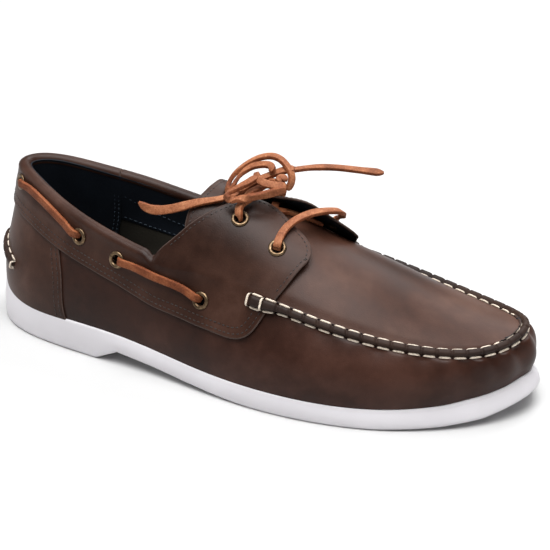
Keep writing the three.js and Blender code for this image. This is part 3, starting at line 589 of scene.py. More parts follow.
def swept(path, facing, section, taper):
    """Sweeps a section along a path, its out side facing that way. taper scales it at each point."""
    across = unit(np.cross(unit(np.gradient(path, axis=0)), facing))
    out = np.cross(across, unit(np.gradient(path, axis=0)))
    scale = np.ones(2) * np.reshape(taper, (len(path), -1))
    return tube(rings_on(path, across, out, section, scale), flip=True)


def joined(parts):
    """Several (points, faces) as one."""
    faces = []
    start = 0
    for places, their in parts:
        faces += [[v + start for v in face] for face in their]
        start += len(places)
    return np.concatenate([places for places, _ in parts]), faces


def rows_at(where, knots, rows):
    """Rows of values between their knots."""
    return np.stack([np.interp(where, knots, column) for column in np.transpose(rows)], -1)


def run_along(path):
    return np.concatenate([[0], np.cumsum(np.linalg.norm(np.diff(path, axis=0), axis=1))])


def through(route, step=0.8):
    """Evenly spaced points on a smooth curve through a route."""
    route = np.asarray(route, float)
    length = np.linalg.norm(np.diff(route, axis=0), axis=1) ** 0.5  # centripetal knots
    knots = np.concatenate([[0], np.cumsum(length)])
    fine = cubic(knots, route)(np.linspace(0, knots[-1], 40 * len(route)))
    run = run_along(fine)
    count = max(4, int(round(run[-1] / step)))
    return rows_at(np.linspace(0, run[-1], count + 1), run, fine)


# ---------------------------------------------------------------- outsole and insole
ROUND = 720  # points round the shoe
round_turns = -math.pi + (np.arange(ROUND) + 0.5) * 2 * math.pi / ROUND


def solid_of_rows(name, node, rows, flip, finish_key, slot):
    """A solid from rows of points round the shoe, closed straight across at its first and last row."""
    faces = grid_quads(ROUND, len(rows), round_rows=True, flip=flip).tolist()
    i = np.arange(ROUND // 2 - 1)
    across = np.stack([i, i + 1, ROUND - 2 - i, ROUND - 1 - i], -1) * len(rows)
    for column, turned in ((0, flip), (len(rows) - 1, not flip)):
        faces += ((across[:, ::-1] if turned else across) + column).tolist()
    mesh_piece(name, np.stack(rows, 1).reshape(-1, 3), faces, [finish_key], slot, [node])


def rounded(middle, out, radius, bends):
    """Rows round an edge, at bends in degrees above the level."""
    turns = np.radians(bends)
    return [middle + (out * math.cos(t) + UP * math.sin(t)) * radius for t in turns]


# The rubber's upper and lower edges are rounded, its side bulges, and its rows start inside the feather.
OUTSOLE = {
    "lip": 0.9, "lip_out": 0.1, "floor_edge": 1.8, "bulge": 0.5, "bed_in": 3.2, "seat_in": 2.8, "tread_in": 4,
}


def make_outsole():
    out = outwards(round_turns)
    feather = feather_point(round_turns)
    tread = tread_point(round_turns)
    lip = OUTSOLE["lip"]
    foot = OUTSOLE["floor_edge"]
    bed = feather - out * OUTSOLE["bed_in"]
    bed[:, 2] = bed_z(np.abs(round_turns))
    rows = [bed, feather - out * OUTSOLE["seat_in"]]
    rows += rounded(feather + out * OUTSOLE["lip_out"] - UP * lip, out, lip, [90, 68, 45, 22, 0])
    start = rows[-1]
    for t in (0.12, 0.3, 0.5, 0.7, 0.88):
        rows.append(between(start, tread + UP * foot, t) + out * (OUTSOLE["bulge"] * 4 * t * (1 - t)))
    rows += rounded(tread - out * foot + UP * foot, out, foot, [0, -25, -50, -70, -90])
    rows.append(tread - out * OUTSOLE["tread_in"])
    solid_of_rows("outsole_unit", "outsole", rows, True, "rubber", "sole_rubber")


INSOLE = {"clear": 0.4, "above_bed": 0.3}
# Its rounded edge and its hollow: how far inside its outline and how high each row lies.
INSOLE_ROWS = ((0, 0), (0, 2), (0.3, 2.7), (1.0, 3.0), (9, 2.2), (14, 2.0))


def make_insole():
    out = outwards(round_turns)
    edge = feather_point(round_turns) - out * (LEATHER + INSOLE["clear"])
    rows = []
    for inside, rise in INSOLE_ROWS:
        rows.append(edge - out * inside)
        rows[-1][:, 2] = bed_z(np.abs(round_turns)) + INSOLE["above_bed"] + rise
    last = rows[-1]
    rows += [between(last, last[::-1], inwards) for inwards in (0.08, 0.2, 0.32, 0.44)]
    solid_of_rows("insole_sock", "insole", rows, False, "lining", "lining_leather")


# ---------------------------------------------------------------- collar and tab outlines
# The edges of the collar's leather, up the surface. low: the band's lower edge and the tab's front.
LOW_EDGE = columns("at up", [
    (0.0, 0.7), (0.08, 0.695), (0.17, 0.66), (0.3, 0.605), (0.39, 0.535), (0.46, 0.495), (0.523, 0.48),
    (0.552, 0.488), (0.572, 0.545), (0.585, 0.66), (0.594, 0.82), (0.607, 1.02), (0.617, 1.145),
    (0.63, 1.36), (0.637, 1.48),
])
HIGH_EDGE = columns("at up", [
    (0.0, 1.0), (0.363, 1.0), (0.386, 1.112), (0.405, 1.22), (0.421, 1.33), (0.434, 1.412),
    (0.455, 1.556), (0.478, 1.72), (0.5, 1.87), (0.51, 1.92), (0.53, 1.94), (0.549, 1.914),
    (0.567, 1.862), (0.59, 1.79), (0.612, 1.735), (0.629, 1.65), (0.636, 1.56), (0.637, 1.48),
])
TAB_REACH = 0.034  # the inner tab reaches this share of the length further forward
COLLAR_SEAM = 0.155  # share of the length where the two collar leathers meet, on the inner side
FRONT_SPLIT = 0.5  # share of the length in front of which the edges are followed by their own length
COLLAR_BACK = share_of(np.linspace(0, angle_at(FRONT_SPLIT), 150))
COLLAR_ROWS = np.linspace(0, 1, 64)


def on_line(table, at):
    return np.interp(at, table["at"], table["up"])


def collar_edge(table):
    """Points (at, up) on an edge: at the back shares, then evenly spaced along it to the tab's tip."""
    back = COLLAR_BACK[:-1]
    front = table["at"] > FRONT_SPLIT
    at = np.append(FRONT_SPLIT, table["at"][front]) * 290  # roughly the length in millimetres
    up = np.append(on_line(table, FRONT_SPLIT), table["up"][front]) * 45  # and the height of one up
    even = through(np.stack([at, up, 0 * at], -1), 0.25)[:, :2]
    pick = np.linspace(0, len(even) - 1, 64)
    front = rows_at(pick, np.arange(len(even)), even) / (290, 45)
    return np.concatenate([np.stack([back, on_line(table, back)], -1), front])


LOW = collar_edge(LOW_EDGE)
HIGH = collar_edge(HIGH_EDGE)


def collar_inside(turn, up):
    """How far the collar's leather lies off the last: the inner tab's upper corner stands up."""
    share = share_of(np.abs(turn))
    lying = 2.4 * ease(up, 1, 1.6)
    standing = between(2.5, 9.5, ease(share, 0.5, 0.6)) * (np.maximum(up - 1.25, 0) / 0.65) ** 2
    return between(0.55, 0.9, ease(share, 0.5, 0.56)) + np.where(turn < 0, lying, standing)


def collar_skin(turn, up, lift=0.0):
    """The outer face of the collar's leather where it lies flat, or above it."""
    return skin(turn, up, collar_inside(turn, up) + between(1.0, 1.6, ease(up, 1, 1.3)) + lift)


BAND_OVER_COUNTER = 0.7  # the band stands higher where the heel counter lies under it


def roll_core(turn):
    """The middle of the collar's padded roll."""
    return rim_point(turn) + outwards(turn) * 0.4 - UP * ROLL


def rolled_face(turn, low):
    """The collar's outer face round its padded roll: one profile up the surface at each turn."""
    out = outwards(turn)
    share = share_of(np.abs(turn))
    over = 1.3 + BAND_OVER_COUNTER * (1 - ease(share, 0.16, 0.24))
    profile = [skin(turn, between(low, 0.87, t), over) for t in (0, 0.35, 0.7, 1)]
    last_bend = between(205, 80, ease(share, *ROLL_FADES["bend"]))  # degrees; it opens towards the tab
    for t in np.linspace(0, 1, 8):
        bend = np.radians(between(-5, last_bend, t))[:, None]
        profile.append(roll_core(turn) + (out * np.cos(bend) + UP * np.sin(bend)) * (ROLL + 0.25))
    profile = np.stack(profile)
    run = np.linalg.norm(np.diff(profile, axis=0), axis=-1).mean(1)
    knots = np.concatenate([[0], np.cumsum(run)])
    return np.moveaxis(cubic(knots, profile)(COLLAR_ROWS * knots[-1]), 0, 1)


def collar_grid(sign):
    """Turns, ups and outer-face points of one side of the collar, from the back to the tab's tip."""
    at, up = np.moveaxis(between(LOW[:, None], HIGH[:, None], COLLAR_ROWS[None, :, None]), -1, 0)
    if sign > 0:
        at = at + TAB_REACH * ease(at, 0.44, 0.57)
    turn = sign * angle_at(at)
    rolled = (1 - ease(LOW[:, 0], *ROLL_FADES["leather"]))[:, None, None]
    bend = rolled_face(sign * angle_at(LOW[:, 0]), LOW[:, 1])
    return turn, up, between(collar_skin(turn, up), bend, rolled)


# Lace holes of each side, as (at, up), from the heel to the tab's front.
HOLES = {
    "lateral": [(0.031, 0.92), (0.2, 0.863), (0.29, 0.839), (0.472, 0.728), (0.502, 1.563), (0.582, 1.449)],
    "medial": [(0.031, 0.92), (0.2, 0.863), (0.29, 0.839), (0.472, 0.728), (0.52, 1.55), (0.622, 1.48)],
}
EYELET = {"hole": 2.4, "barrel": 2.9, "flange": 4.4, "lip": 0.85, "depth": 2.2}
CUT_OUT = 3.3  # radius cut out of the leather; the flanges cover what is left ragged


def hole_place(side, number):
    """A lace hole's middle on the collar's outer face, and the direction straight out of it."""
    at, up = HOLES[side][number]
    turn = np.array(SIDES[side] * angle_at(at))
    up = np.array(up)
    step = 0.02
    around = collar_skin(turn + step, up) - collar_skin(turn - step, up)
    rise = collar_skin(turn, up + step) - collar_skin(turn, up - step)
    return collar_skin(turn, up), unit(np.cross(rise, around))


def with_holes(grid, quads):
    """Leaves out the quads in the lace holes."""
    middle = grid.reshape(-1, 3)[quads].mean(1)
    keep = np.ones(len(quads), bool)
    for side in HOLES:
        for number in range(len(HOLES[side])):
            place, facing = hole_place(side, number)
            deep = (middle - place) @ facing
            flat = np.linalg.norm(middle - place - deep[:, None] * facing, axis=1)
            keep &= (flat > CUT_OUT) | (np.abs(deep) > 6)
    return quads[keep]


def make_collars(collars):
    seam = int(np.searchsorted(COLLAR_BACK, COLLAR_SEAM))
    inner = collars["medial"][2]
    outer = np.concatenate([inner[seam - 1:0:-1], collars["lateral"][2]])
    for side, grid, flip in (("lateral", outer, True), ("medial", inner[seam:], False)):
        quads = with_holes(grid, grid_quads(*grid.shape[:2], flip=flip))
        leather_sheet(f"collar_{side}_leather", grid, THICK["collar"], ["leather_painted_light", "lining", "edge"],
                      [f"collar_{side}"], flip=flip, quads=quads)


# ---------------------------------------------------------------- upper
WALL_TOP = columns("at up", [(0, 0.8), (0.36, 0.8), (0.42, 0.86), (0.49, 0.86), (THROAT, 1), (1, 1)])

# Soft pleats where the wall is gathered into the seam round the toe. at: share of the length, deep and
# wide in millimetres, reach: how far down the wall each runs.
PLEATS = columns("side at deep wide reach", [
    (-1, 0.70, 0.35, 5.0, 14),
    (-1, 0.79, 0.5, 5.5, 18),
    (-1, 0.86, 0.45, 4.5, 16),
    (-1, 0.925, 0.8, 4.0, 20),
    (-1, 0.965, 0.7, 3.5, 17),
    (-1, 0.99, 0.9, 3.6, 20),
    (1, 0.998, 0.7, 3.6, 18),
    (1, 0.975, 0.8, 3.8, 20),
    (1, 0.93, 0.6, 4.5, 17),
    (1, 0.87, 0.5, 5.0, 18),
    (1, 0.79, 0.45, 5.5, 16),
    (1, 0.7, 0.35, 5.5, 14),
])
STITCH = {"pitch": 7.0, "long": 5.6, "radius": 0.56, "beside": 0.45}
PLEAT_RELIEF = 1.9
PLEATS_BELOW = (4.2, 6.5)  # millimetres under the seam where the pleats set in, clear of its stitches
PUCKER = {"high": 0.2, "reach": 5}


def seam_run(turn):
    """Distance along the moccasin seam, from the throat on the outer side round the toe."""
    start = -angle_at(0.5)
    fine = np.linspace(0, 2 * (math.pi + start), 1400)
    return np.interp((start - turn) % (2 * math.pi), fine, run_along(rim_point(wrap(start - fine))))


def wall_relief(turn, up):
    """How far the wall stands in or out of the last: puckers at the seam's stitches, and pleats."""
    run = seam_run(turn)
    height = np.linalg.norm(last_point(turn, 1.0) - last_point(turn, 0.0), axis=-1)
    below = (1 - up) * height
    in_front = ease(share_of(np.abs(turn)), 0.6, 0.7)
    ripple = np.cos(2 * math.pi * run / STITCH["pitch"]) * np.exp(-below / PUCKER["reach"])
    relief = PUCKER["high"] * ripple * in_front
    for side, at, deep, wide, reach in zip(*PLEATS.values()):
        away = run - seam_run(side * angle_at(at))
        spread = wide * (1 + below / reach * 0.8)
        fade = np.exp(-(below / reach) ** 2) * ease(below, *PLEATS_BELOW)
        groove = np.exp(-(away / spread) ** 2 * 2)
        shoulder = np.exp(-((np.abs(away) - spread * 1.35) / spread) ** 2 * 2)
        relief = relief + PLEAT_RELIEF * fade * deep * (0.55 * shoulder - groove)
    return relief


def make_wall():
    turns = -math.pi + np.arange(ROUND) * 2 * math.pi / ROUND
    top = on_line(WALL_TOP, share_of(np.abs(turns)))
    up = between(-0.02, top[:, None], np.linspace(0, 1, 46)[None])
    turn = np.broadcast_to(turns[:, None], up.shape)
    grid = skin(turn, up, wall_relief(turn, up))
    normals = grid_normals(np.concatenate([grid[-1:], grid, grid[:1]]), True)[1:-1]
    quads = with_holes(grid, grid_quads(*up.shape, round_rows=True))
    leather_sheet("upper_wall", grid, THICK["wall"], ["leather", "lining", "edge"], ["upper"], quads=quads,
                  normals=normals)


def instep_turn(at, share_across):
    """turn and up of a place on the instep, from the share of the length and of the half width."""
    return np.where(share_across < 0, -1, 1) * angle_at(at), 2 - np.abs(share_across)


def make_plug():
    shares = share_of(np.linspace(angle_at(THROAT), math.pi - 0.03, 190))
    half = np.sin(np.linspace(-math.pi / 2, math.pi / 2, 72))
    turn, up = instep_turn(shares[:, None], half[None])
    sag = 0.5 * (1 - ease(1 - np.abs(half), 0, 0.12))[None] * np.ones_like(turn)
    grid = skin(turn, np.clip(up, 1.0005, 2), -sag)
    leather_sheet("vamp_plug", grid, THICK["plug"], ["vamp", "lining", "edge"], flip=True)


COUNTER_EDGE = columns("up at", [(0.0, 0.204), (0.309, 0.189), (0.483, 0.175), (0.66, 0.156), (0.73, 0.151)])
COUNTER_THICK = 0.9  # how proud the heel counter stands


def counter_share(up):
    return cubic(COUNTER_EDGE["up"], COUNTER_EDGE["at"])(up)


def make_counter():
    ups = np.linspace(-0.01, 0.715, 46)
    turn = np.linspace(-1, 1, 240)[:, None] * angle_at(counter_share(ups))[None]
    up = np.broadcast_to(ups[None], turn.shape)
    grid = skin(turn, up, np.full(turn.shape, COUNTER_THICK))
    leather_sheet("heel_counter", grid, THICK["counter"], ["leather_painted_light", "leather", "edge"],
                  normals=normal_at(turn, up))


# The seam round the inside, between the navy lining above and the olive one below.
LINING_SEAM = columns("at up", [
    (0, 0.55), (0.156, 0.53), (0.217, 0.48), (0.275, 0.456), (0.4, 0.43), (0.66, 0.43),
])
LINING_UPS = (0.03, 0.2, 0.4, 0.6, 0.78, 0.92)
# Each piece of the lining: how far round it reaches, its lower and upper edge, how far inside the last
# it lies and its finish. It lies over the one before it.
LININGS = {
    "lining_low": (0.66, 0.03, 0.62, LEATHER + 0.1, "lining_low"),
    "lining_high": (0.66, "seam", 0.92, LEATHER + 0.5, "lining"),
    "lining_heel": (0.153, 0.03, 0.92, LEATHER + 0.9, "lining"),
}
LINING_STITCH = {"pitch": 3.0, "long": 2.0, "radius": 0.3}


def lining_face(turns, ups, inside):
    """Points inside the upper, tucked under the collar's roll. turns: one row, ups: a row for each."""
    out = outwards(turns)
    rolled = (1 - ease(share_of(np.abs(turns)), *ROLL_FADES["lining"]))[:, None]
    full = np.full(len(turns), 1.0)
    profile = [skin(turns, u * full, -inside * full) for u in LINING_UPS[:4]]
    for u, t in zip(LINING_UPS[4:], np.radians([222, 190])):
        flat = skin(turns, u * full, -between(inside, -0.4, ease(u, 0.8, 0.9)) * full)
        spot = roll_core(turns) + (out * math.cos(t) + UP * math.sin(t)) * (ROLL - 0.2)
        profile.append(between(flat, spot, rolled))
    level = np.arange(len(profile))
    fine = np.linspace(0, level[-1], 240)
    fine_rows = np.moveaxis(cubic(level, np.stack(profile))(fine), 0, 1)
    spots = np.interp(ups, LINING_UPS, level) / level[-1] * (len(fine) - 1)
    below = np.minimum(spots.astype(int), len(fine) - 2)
    row = np.arange(len(turns))[:, None]
    return between(fine_rows[row, below], fine_rows[row, below + 1], (spots - below)[..., None])


def make_lining():
    for name, (reach, low, high, inside, finish_key) in LININGS.items():
        turns = np.linspace(-angle_at(reach), angle_at(reach), 400)
        first = on_line(LINING_SEAM, share_of(np.abs(turns))) if low == "seam" else np.full(len(turns), low)
        grid = lining_face(turns, between(first[:, None], high, np.linspace(0, 1, 30)[None]), inside)
        leather_sheet(name, grid, THICK["lining"], [finish_key] * 3, slot="lining_leather")
    solids = []
    for sign in SIDES.values():
        turns = sign * np.linspace(angle_at(0.158), angle_at(0.5), 200)
        seam = on_line(LINING_SEAM, share_of(np.abs(turns)))
        for ups in (seam + 0.03, seam + 0.16):
            line = lining_face(turns, ups[:, None], LEATHER + 1.2)[:, 0]
            solids += running_stitches(line, -normal_at(turns, ups), **LINING_STITCH)
        ups = np.linspace(0.08, 0.8, 60)
        for share in (0.149, 0.141):
            turn = np.array([sign * angle_at(share)])
            line = lining_face(turn, ups[None], LEATHER + 1.6)[0]
            solids += running_stitches(line, -normal_at(turn, ups), **LINING_STITCH)
    make_stitching("lining_stitches", solids, "navy_thread", "lining_leather")


# ---------------------------------------------------------------- tongue
TONGUE = {"half": 0.78, "front": 0.6}
# The tongue's back edge, from its middle to its corner.
TONGUE_BACK = columns("across at", [
    (0.0, 0.421), (0.3, 0.415), (0.55, 0.405), (0.67, 0.406), (0.74, 0.414), (0.78, 0.43),
])


def tongue_back(share_across):
    return cubic(TONGUE_BACK["across"], TONGUE_BACK["at"])(np.abs(share_across))


def tongue_face(at, share_across):
    """The tongue's outer face: it stands a little proud behind and slips under the plug in front."""
    turn, up = instep_turn(at, share_across)
    lift = between(0.9 * ease(up, 1.3, 1.9), -LEATHER - 1.5, ease(at, 0.43, THROAT - 0.02))
    return skin(turn, up, lift)


def make_tongue():
    half = np.linspace(-1, 1, 90) * TONGUE["half"]
    at = between(tongue_back(half)[None], TONGUE["front"], np.linspace(0, 1, 60)[:, None])
    grid = tongue_face(at, np.broadcast_to(half[None], at.shape))
    leather_sheet("tongue_leather", grid, THICK["tongue"], ["leather_painted_light", "lining", "edge"], ["tongue"],
                  flip=True)


# ---------------------------------------------------------------- hand-sewn ridges
RIDGE = {"width": 3.4, "height": 3.0, "start": 0.563, "top": 0.983}
RIDGE_ENDS = 6  # rings over which each end of a ridge is rounded off
DRAWN_IN = {"wide": 0.28, "across": 0.16, "down": 0.24}  # at each thread hole, as shares


def ridge_section():
    """A pinched fold of leather, one wide and one high, as (across, out), open at its base."""
    t = np.linspace(0, math.pi, 16)
    x = np.sign(np.cos(t)) * np.abs(np.cos(t)) ** 0.6 / 2
    y = np.abs(np.sin(t)) ** 0.6
    return np.concatenate([np.stack([x, y], -1), [(-0.5, -0.15), (0.5, -0.15)]])


def make_ridge(name, node, turns, up, base, width, height, pitch):
    """A ridge of folded leather, drawn in at each thread hole. up is its upper edge, base how far it
    stands off the last. Gives its middle line, the directions across and out, and its thread holes."""
    width = np.broadcast_to(width, turns.shape)
    step = 0.01
    rise = np.linalg.norm(last_point(turns, up) - last_point(turns, up - step), axis=-1) / step
    high = skin(turns, up, base)
    low = skin(turns, up - width / rise, base)
    across = unit(high - low)
    middle = (high + low) / 2
    out = unit(np.cross(across, np.gradient(middle, axis=0)))
    out = np.where((np.sum(out * normal_at(turns, up - 0.5 * width / rise), -1) < 0)[:, None], -out, out)
    run = run_along(middle)
    count = round(run[-1] / pitch)
    holes = np.interp(np.arange(count + 1) * run[-1] / count, run, np.arange(len(run)))
    drawn = np.exp(-(np.sin(math.pi * run * count / run[-1]) / DRAWN_IN["wide"]) ** 2)
    scale = np.stack([width * (1 - DRAWN_IN["across"] * drawn), height * (1 - DRAWN_IN["down"] * drawn)], -1)
    for k in range(RIDGE_ENDS):
        scale[[k, -1 - k]] *= math.sin(math.pi / 2 * (k + 1) / (RIDGE_ENDS + 1)) ** 0.7
    places, faces = tube(rings_on(middle, across, out, ridge_section(), scale))
    mesh_piece(name, places, faces, ["ridge"], "seam_leather", [node])
    return {"middle": middle, "across": across, "out": out, "width": width, "height": height, "holes": holes}


def make_moc_seam():
    """From the outer tab round the toe to the inner tab, wider at its ends."""
    first = angle_at(RIDGE["start"])
    last = angle_at(RIDGE["start"] + TAB_REACH)
    turns = wrap(-first - np.linspace(0, 2 * math.pi - first - last, 1100))
    share = share_of(np.abs(turns)) - np.where(turns > 0, TAB_REACH, 0)
    base = between(2.1, 0.0, ease(share, 0.6, 0.63))
    width = RIDGE["width"] + 2.0 * (1 - ease(share, RIDGE["start"] + 0.015, 0.63))
    ridge = make_ridge("moccasin_ridge", "moc_seam", turns, np.full(len(turns), RIDGE["top"]), base, width,
                       RIDGE["height"], STITCH["pitch"])
    make_hand_stitches("moccasin", ridge, crossed=(0, 1))


HEEL_SEAM = {"ends": 0.066, "low": 0.31, "high": 0.34, "width": 3.6, "height": 2.6, "pitch": 6.5}


def make_heel_seam():
    reach = angle_at(HEEL_SEAM["ends"])
    turns = np.linspace(reach, -reach, 220)
    up = between(HEEL_SEAM["low"], HEEL_SEAM["high"], 1 - (turns / reach) ** 2)
    ridge = make_ridge("heel_ridge", "heel_seam", turns, up, COUNTER_THICK - 0.2, HEEL_SEAM["width"],
                       HEEL_SEAM["height"], HEEL_SEAM["pitch"])
    make_hand_stitches("heel_ridge", ridge, crossed=(0,))


# ---------------------------------------------------------------- stitches
def stitch_solid(path, facing, radius):
    """One stitch: a short thread with round ends that dip into the leather."""
    taper = np.sqrt(np.clip(1 - np.abs(np.linspace(-1, 1, len(path))) ** 6 * 0.9, 0.05, 1))
    t = np.arange(8) * math.pi / 4
    return swept(path, facing, np.stack([np.cos(t), np.sin(t) * 0.8], -1) * radius, taper)


def stitches_between(path, out, cuts, margin, radius, proud=0.55, dip=1.0, steps=9):
    """Stitches along a row of places, one between each two thread holes. cuts are the holes' places in
    the row, margin how far short of them each stitch goes under."""
    run = run_along(path)
    spots = np.interp(cuts, np.arange(len(path)), run)
    t = np.linspace(-1, 1, steps)
    lift = radius * (proud - dip * t ** 6)
    solids = []
    for first, last in zip(spots[:-1] + margin, spots[1:] - margin):
        where = between(first, last, (t + 1) / 2)
        away = unit(rows_at(where, run, out))
        solids.append(stitch_solid(rows_at(where, run, path) + away * lift[:, None], away, radius))
    return solids


def running_stitches(path, out, pitch, long, radius):
    """Machine stitches, evenly spaced along a line on the leather."""
    run = run_along(path)
    count = max(1, round(run[-1] / pitch))
    cuts = np.interp(np.arange(count + 1) * run[-1] / count, run, np.arange(len(run)))
    return stitches_between(path, out, cuts, (run[-1] / count - long) / 2, radius, 0.2, 0.7, 5)


def make_hand_stitches(name, ridge, crossed):
    """The cream thread on both sides of a ridge, its cross stitches near each end, and dark domes of painted
    shade at its thread holes.
    """
    middle, out, across, holes = (ridge[key] for key in ("middle", "out", "across", "holes"))
    reach = ridge["width"] / 2 + STITCH["beside"]
    index = np.arange(len(reach))
    margin = (STITCH["pitch"] - STITCH["long"]) / 2
    solids = []
    # Dark domes at the thread holes: painted shade.
    dark = []
    for side in (-1, 1):
        row = middle + across * (side * reach)[:, None]
        solids += stitches_between(row, out, holes, margin, STITCH["radius"])
        dark += map(painted_hole_shade_dome, rows_at(holes, index, row), rows_at(holes, index, out))
    t = np.linspace(-1, 1, 15)[:, None]
    for hole in [holes[k] for cross in crossed for k in (cross, -1 - cross)]:
        place, side, up = (rows_at(hole, index, rows) for rows in (middle, across, out))
        over = (ridge["height"] + STITCH["radius"] * 0.6) * (1 - t ** 8)
        path = place + side * t * np.interp(hole, index, reach) + up * over
        solids.append(stitch_solid(path, unit(side * t ** 5 + up), STITCH["radius"]))
    make_stitching(f"{name}_stitches", solids, "cream_thread")
    make_stitching(f"{name}_thread_hole_painted_shade", dark, "hole")


def painted_hole_shade_dome(place, out):
    """A small dark dome that lies almost flush with the leather at a thread hole: painted shade for the
    inside of the hole.
    """
    side = unit(np.cross(out, UP + 0.01))
    other = np.cross(out, side)
    t = np.arange(8)[:, None] * math.pi / 4
    ring = (side * np.cos(t) + other * np.sin(t)) * 0.5
    levels = ((1.0, -0.15), (0.85, 0.06), (0.4, 0.12))
    return tube(np.stack([place + ring * scale + out * lift for scale, lift in levels]))


def make_stitching(name, solids, finish_key, slot="seam_leather"):
    mesh_piece(name, *joined(solids), [finish_key], slot)


MACHINE = {"pitch": 2.5, "long": 1.7, "radius": 0.25}
# How far each row of machine stitching lies from its edge.
SET_IN = {"band": (1.8, 4.9), "tab": 1.6, "counter": (1.8, 5.0)}


def row_beside(edge, out, inwards, inset):
    """A row of machine stitches set into the leather by a distance, square to an edge's run."""
    aside = np.cross(out, unit(np.gradient(edge, axis=0)))
    line = edge + aside * (inset if np.sum(aside * inwards) > 0 else -inset)
    kept = np.concatenate([[True], np.linalg.norm(np.diff(line, axis=0), axis=1) > 0.15])
    return running_stitches(line[kept], out[kept], **MACHINE)


def make_panel_stitches(collars):
    """The fine brown stitching: two rows on the band, one round each tab, two on the counter's edge."""
    solids = []
    for side, sign in SIDES.items():
        turn, up, grid = collars[side]
        out = grid_normals(grid)
        if np.sum(out * normal_at(turn, up)) < 0:
            out = -out
        band = (LOW[:, 0] > (0.0 if side == "lateral" else COLLAR_SEAM + 0.008)) & (LOW[:, 1] < 0.93)
        inwards = grid[:, 6] - grid[:, 0]
        for inset in SET_IN["band"]:
            solids += row_beside(grid[band, 0], out[band, 0], inwards[band], inset)
        front = LOW[:, 1] > 1.05
        free = HIGH[:, 0] > 0.385
        inwards = np.concatenate([inwards[front], (grid[:, -7] - grid[:, -1])[free][::-1]])
        edge, facing = (np.concatenate([rows[front, 0], rows[free, -1][::-1]]) for rows in (grid, out))
        solids += row_beside(edge, facing, inwards, SET_IN["tab"])
        ups = np.linspace(0.03, 0.66, 60)
        turn = sign * angle_at(counter_share(ups))
        edge = skin(turn, ups, COUNTER_THICK)
        inwards = skin(turn * 0.95, ups, COUNTER_THICK) - edge
        for inset in SET_IN["counter"]:
            solids += row_beside(edge, normal_at(turn, ups), inwards, inset)
    half = np.linspace(-0.74, 0.74, 120)
    edge = tongue_face(tongue_back(half) + 0.007, half)
    solids += running_stitches(edge, normal_at(*instep_turn(tongue_back(half), half)), **MACHINE)
    make_stitching("machine_stitches", solids, "brown_thread")


# ---------------------------------------------------------------- eyelets
def eyelet_profile():
    """Radius and height round one half of the ring: barrel, rolled rim and flange."""
    inner, outer, barrel, deep = EYELET["hole"], EYELET["flange"], EYELET["barrel"], -EYELET["depth"]
    t = np.radians(np.linspace(160, 20, 9))
    rim = [(inner + outer) / 2 + np.cos(t) * (outer - inner) / 2, EYELET["lip"] * np.sin(t) + 0.1]
    return np.concatenate([[(inner, deep), (inner, -0.6), (inner, 0.1)], np.transpose(rim),
                           [(outer, 0.12), (outer - 0.1, 0.0), (barrel, 0.0), (barrel, deep)]])


def make_eyelets():
    profile = eyelet_profile()
    sides = 40
    t = (np.arange(sides) * 2 * math.pi / sides)[:, None, None]
    quads = grid_quads(sides, len(profile), True, True)[:, OTHER_WAY].tolist()
    for side in HOLES:
        for number in range(len(HOLES[side])):
            place, out = hole_place(side, number)
            across = unit(np.cross(out, UP))
            round_it = across * np.cos(t) + np.cross(out, across) * np.sin(t)
            ring = place + profile[None, :, :1] * round_it + profile[None, :, 1:] * out
            mesh_piece(f"eyelet_ring_{side}_{number + 1}", ring.reshape(-1, 3), quads, ["brass"],
                       "antique_brass", [f"eyelet_{side}_{number + 1}"])


# ---------------------------------------------------------------- laces
LACE = {"width": 3.7, "thick": 2.1}
LACE_SIDES = 16
CUT_SIDES = (0, 6, 7, 8, 14, 15)  # those of its sides that are the hide's cut


def lace_section():
    """A rectangle with soft corners, as (across, out)."""
    t = (np.arange(LACE_SIDES) + 0.5) * 2 * math.pi / LACE_SIDES
    soft = [np.sign(v) * np.abs(v) ** 0.3 / 2 for v in (np.cos(t), np.sin(t))]
    return np.stack(soft, -1) * (LACE["width"], LACE["thick"])


def lace_solid(path, facing, wide=None):
    """A flat lace along a path. facing is one direction, or several along it. wide scales its width
    along the way."""
    facing = np.asarray(facing, float)
    if facing.ndim == 2 and len(facing) != len(path):
        facing = rows_at(np.linspace(0, len(facing) - 1, len(path)), np.arange(len(facing)), facing)
    facing = np.broadcast_to(facing, path.shape)
    along_it = np.linspace(0, 1, len(path))
    rng = np.random.default_rng(len(path))
    taper = np.ones((len(path), 2)) + cubic(np.linspace(0, 1, 9), rng.normal(0, 0.04, (9, 2)))(along_it)
    if wide is not None:
        taper[:, 0] *= np.interp(along_it, *np.transpose(wide))
    for k in range(3):
        taper[[k, -1 - k]] *= math.sin(math.pi / 2 * (k + 0.6) / 3.6) ** 0.4
    return swept(path, facing, lace_section(), taper)


def lace_piece(name, solids, nodes, finish_key="rawhide"):
    """Laces as one mesh. Their wide faces show the hide's own skin, the narrow ones its cut."""
    cut = np.isin(np.arange(LACE_SIDES), CUT_SIDES).astype(int)
    which = [np.append(np.tile(cut, (len(faces) - 2) // LACE_SIDES), (1, 1)) for _, faces in solids]
    return mesh_piece(name, *joined(solids), [finish_key, "rawhide_cut"], "rawhide", nodes,
                      np.concatenate(which))


SIDE_LACES = {"rear": (0, 1), "front": (2, 3)}  # the holes that each one joins
SIDE_LACE_RISE = 0.26  # how far each bows up the band between them


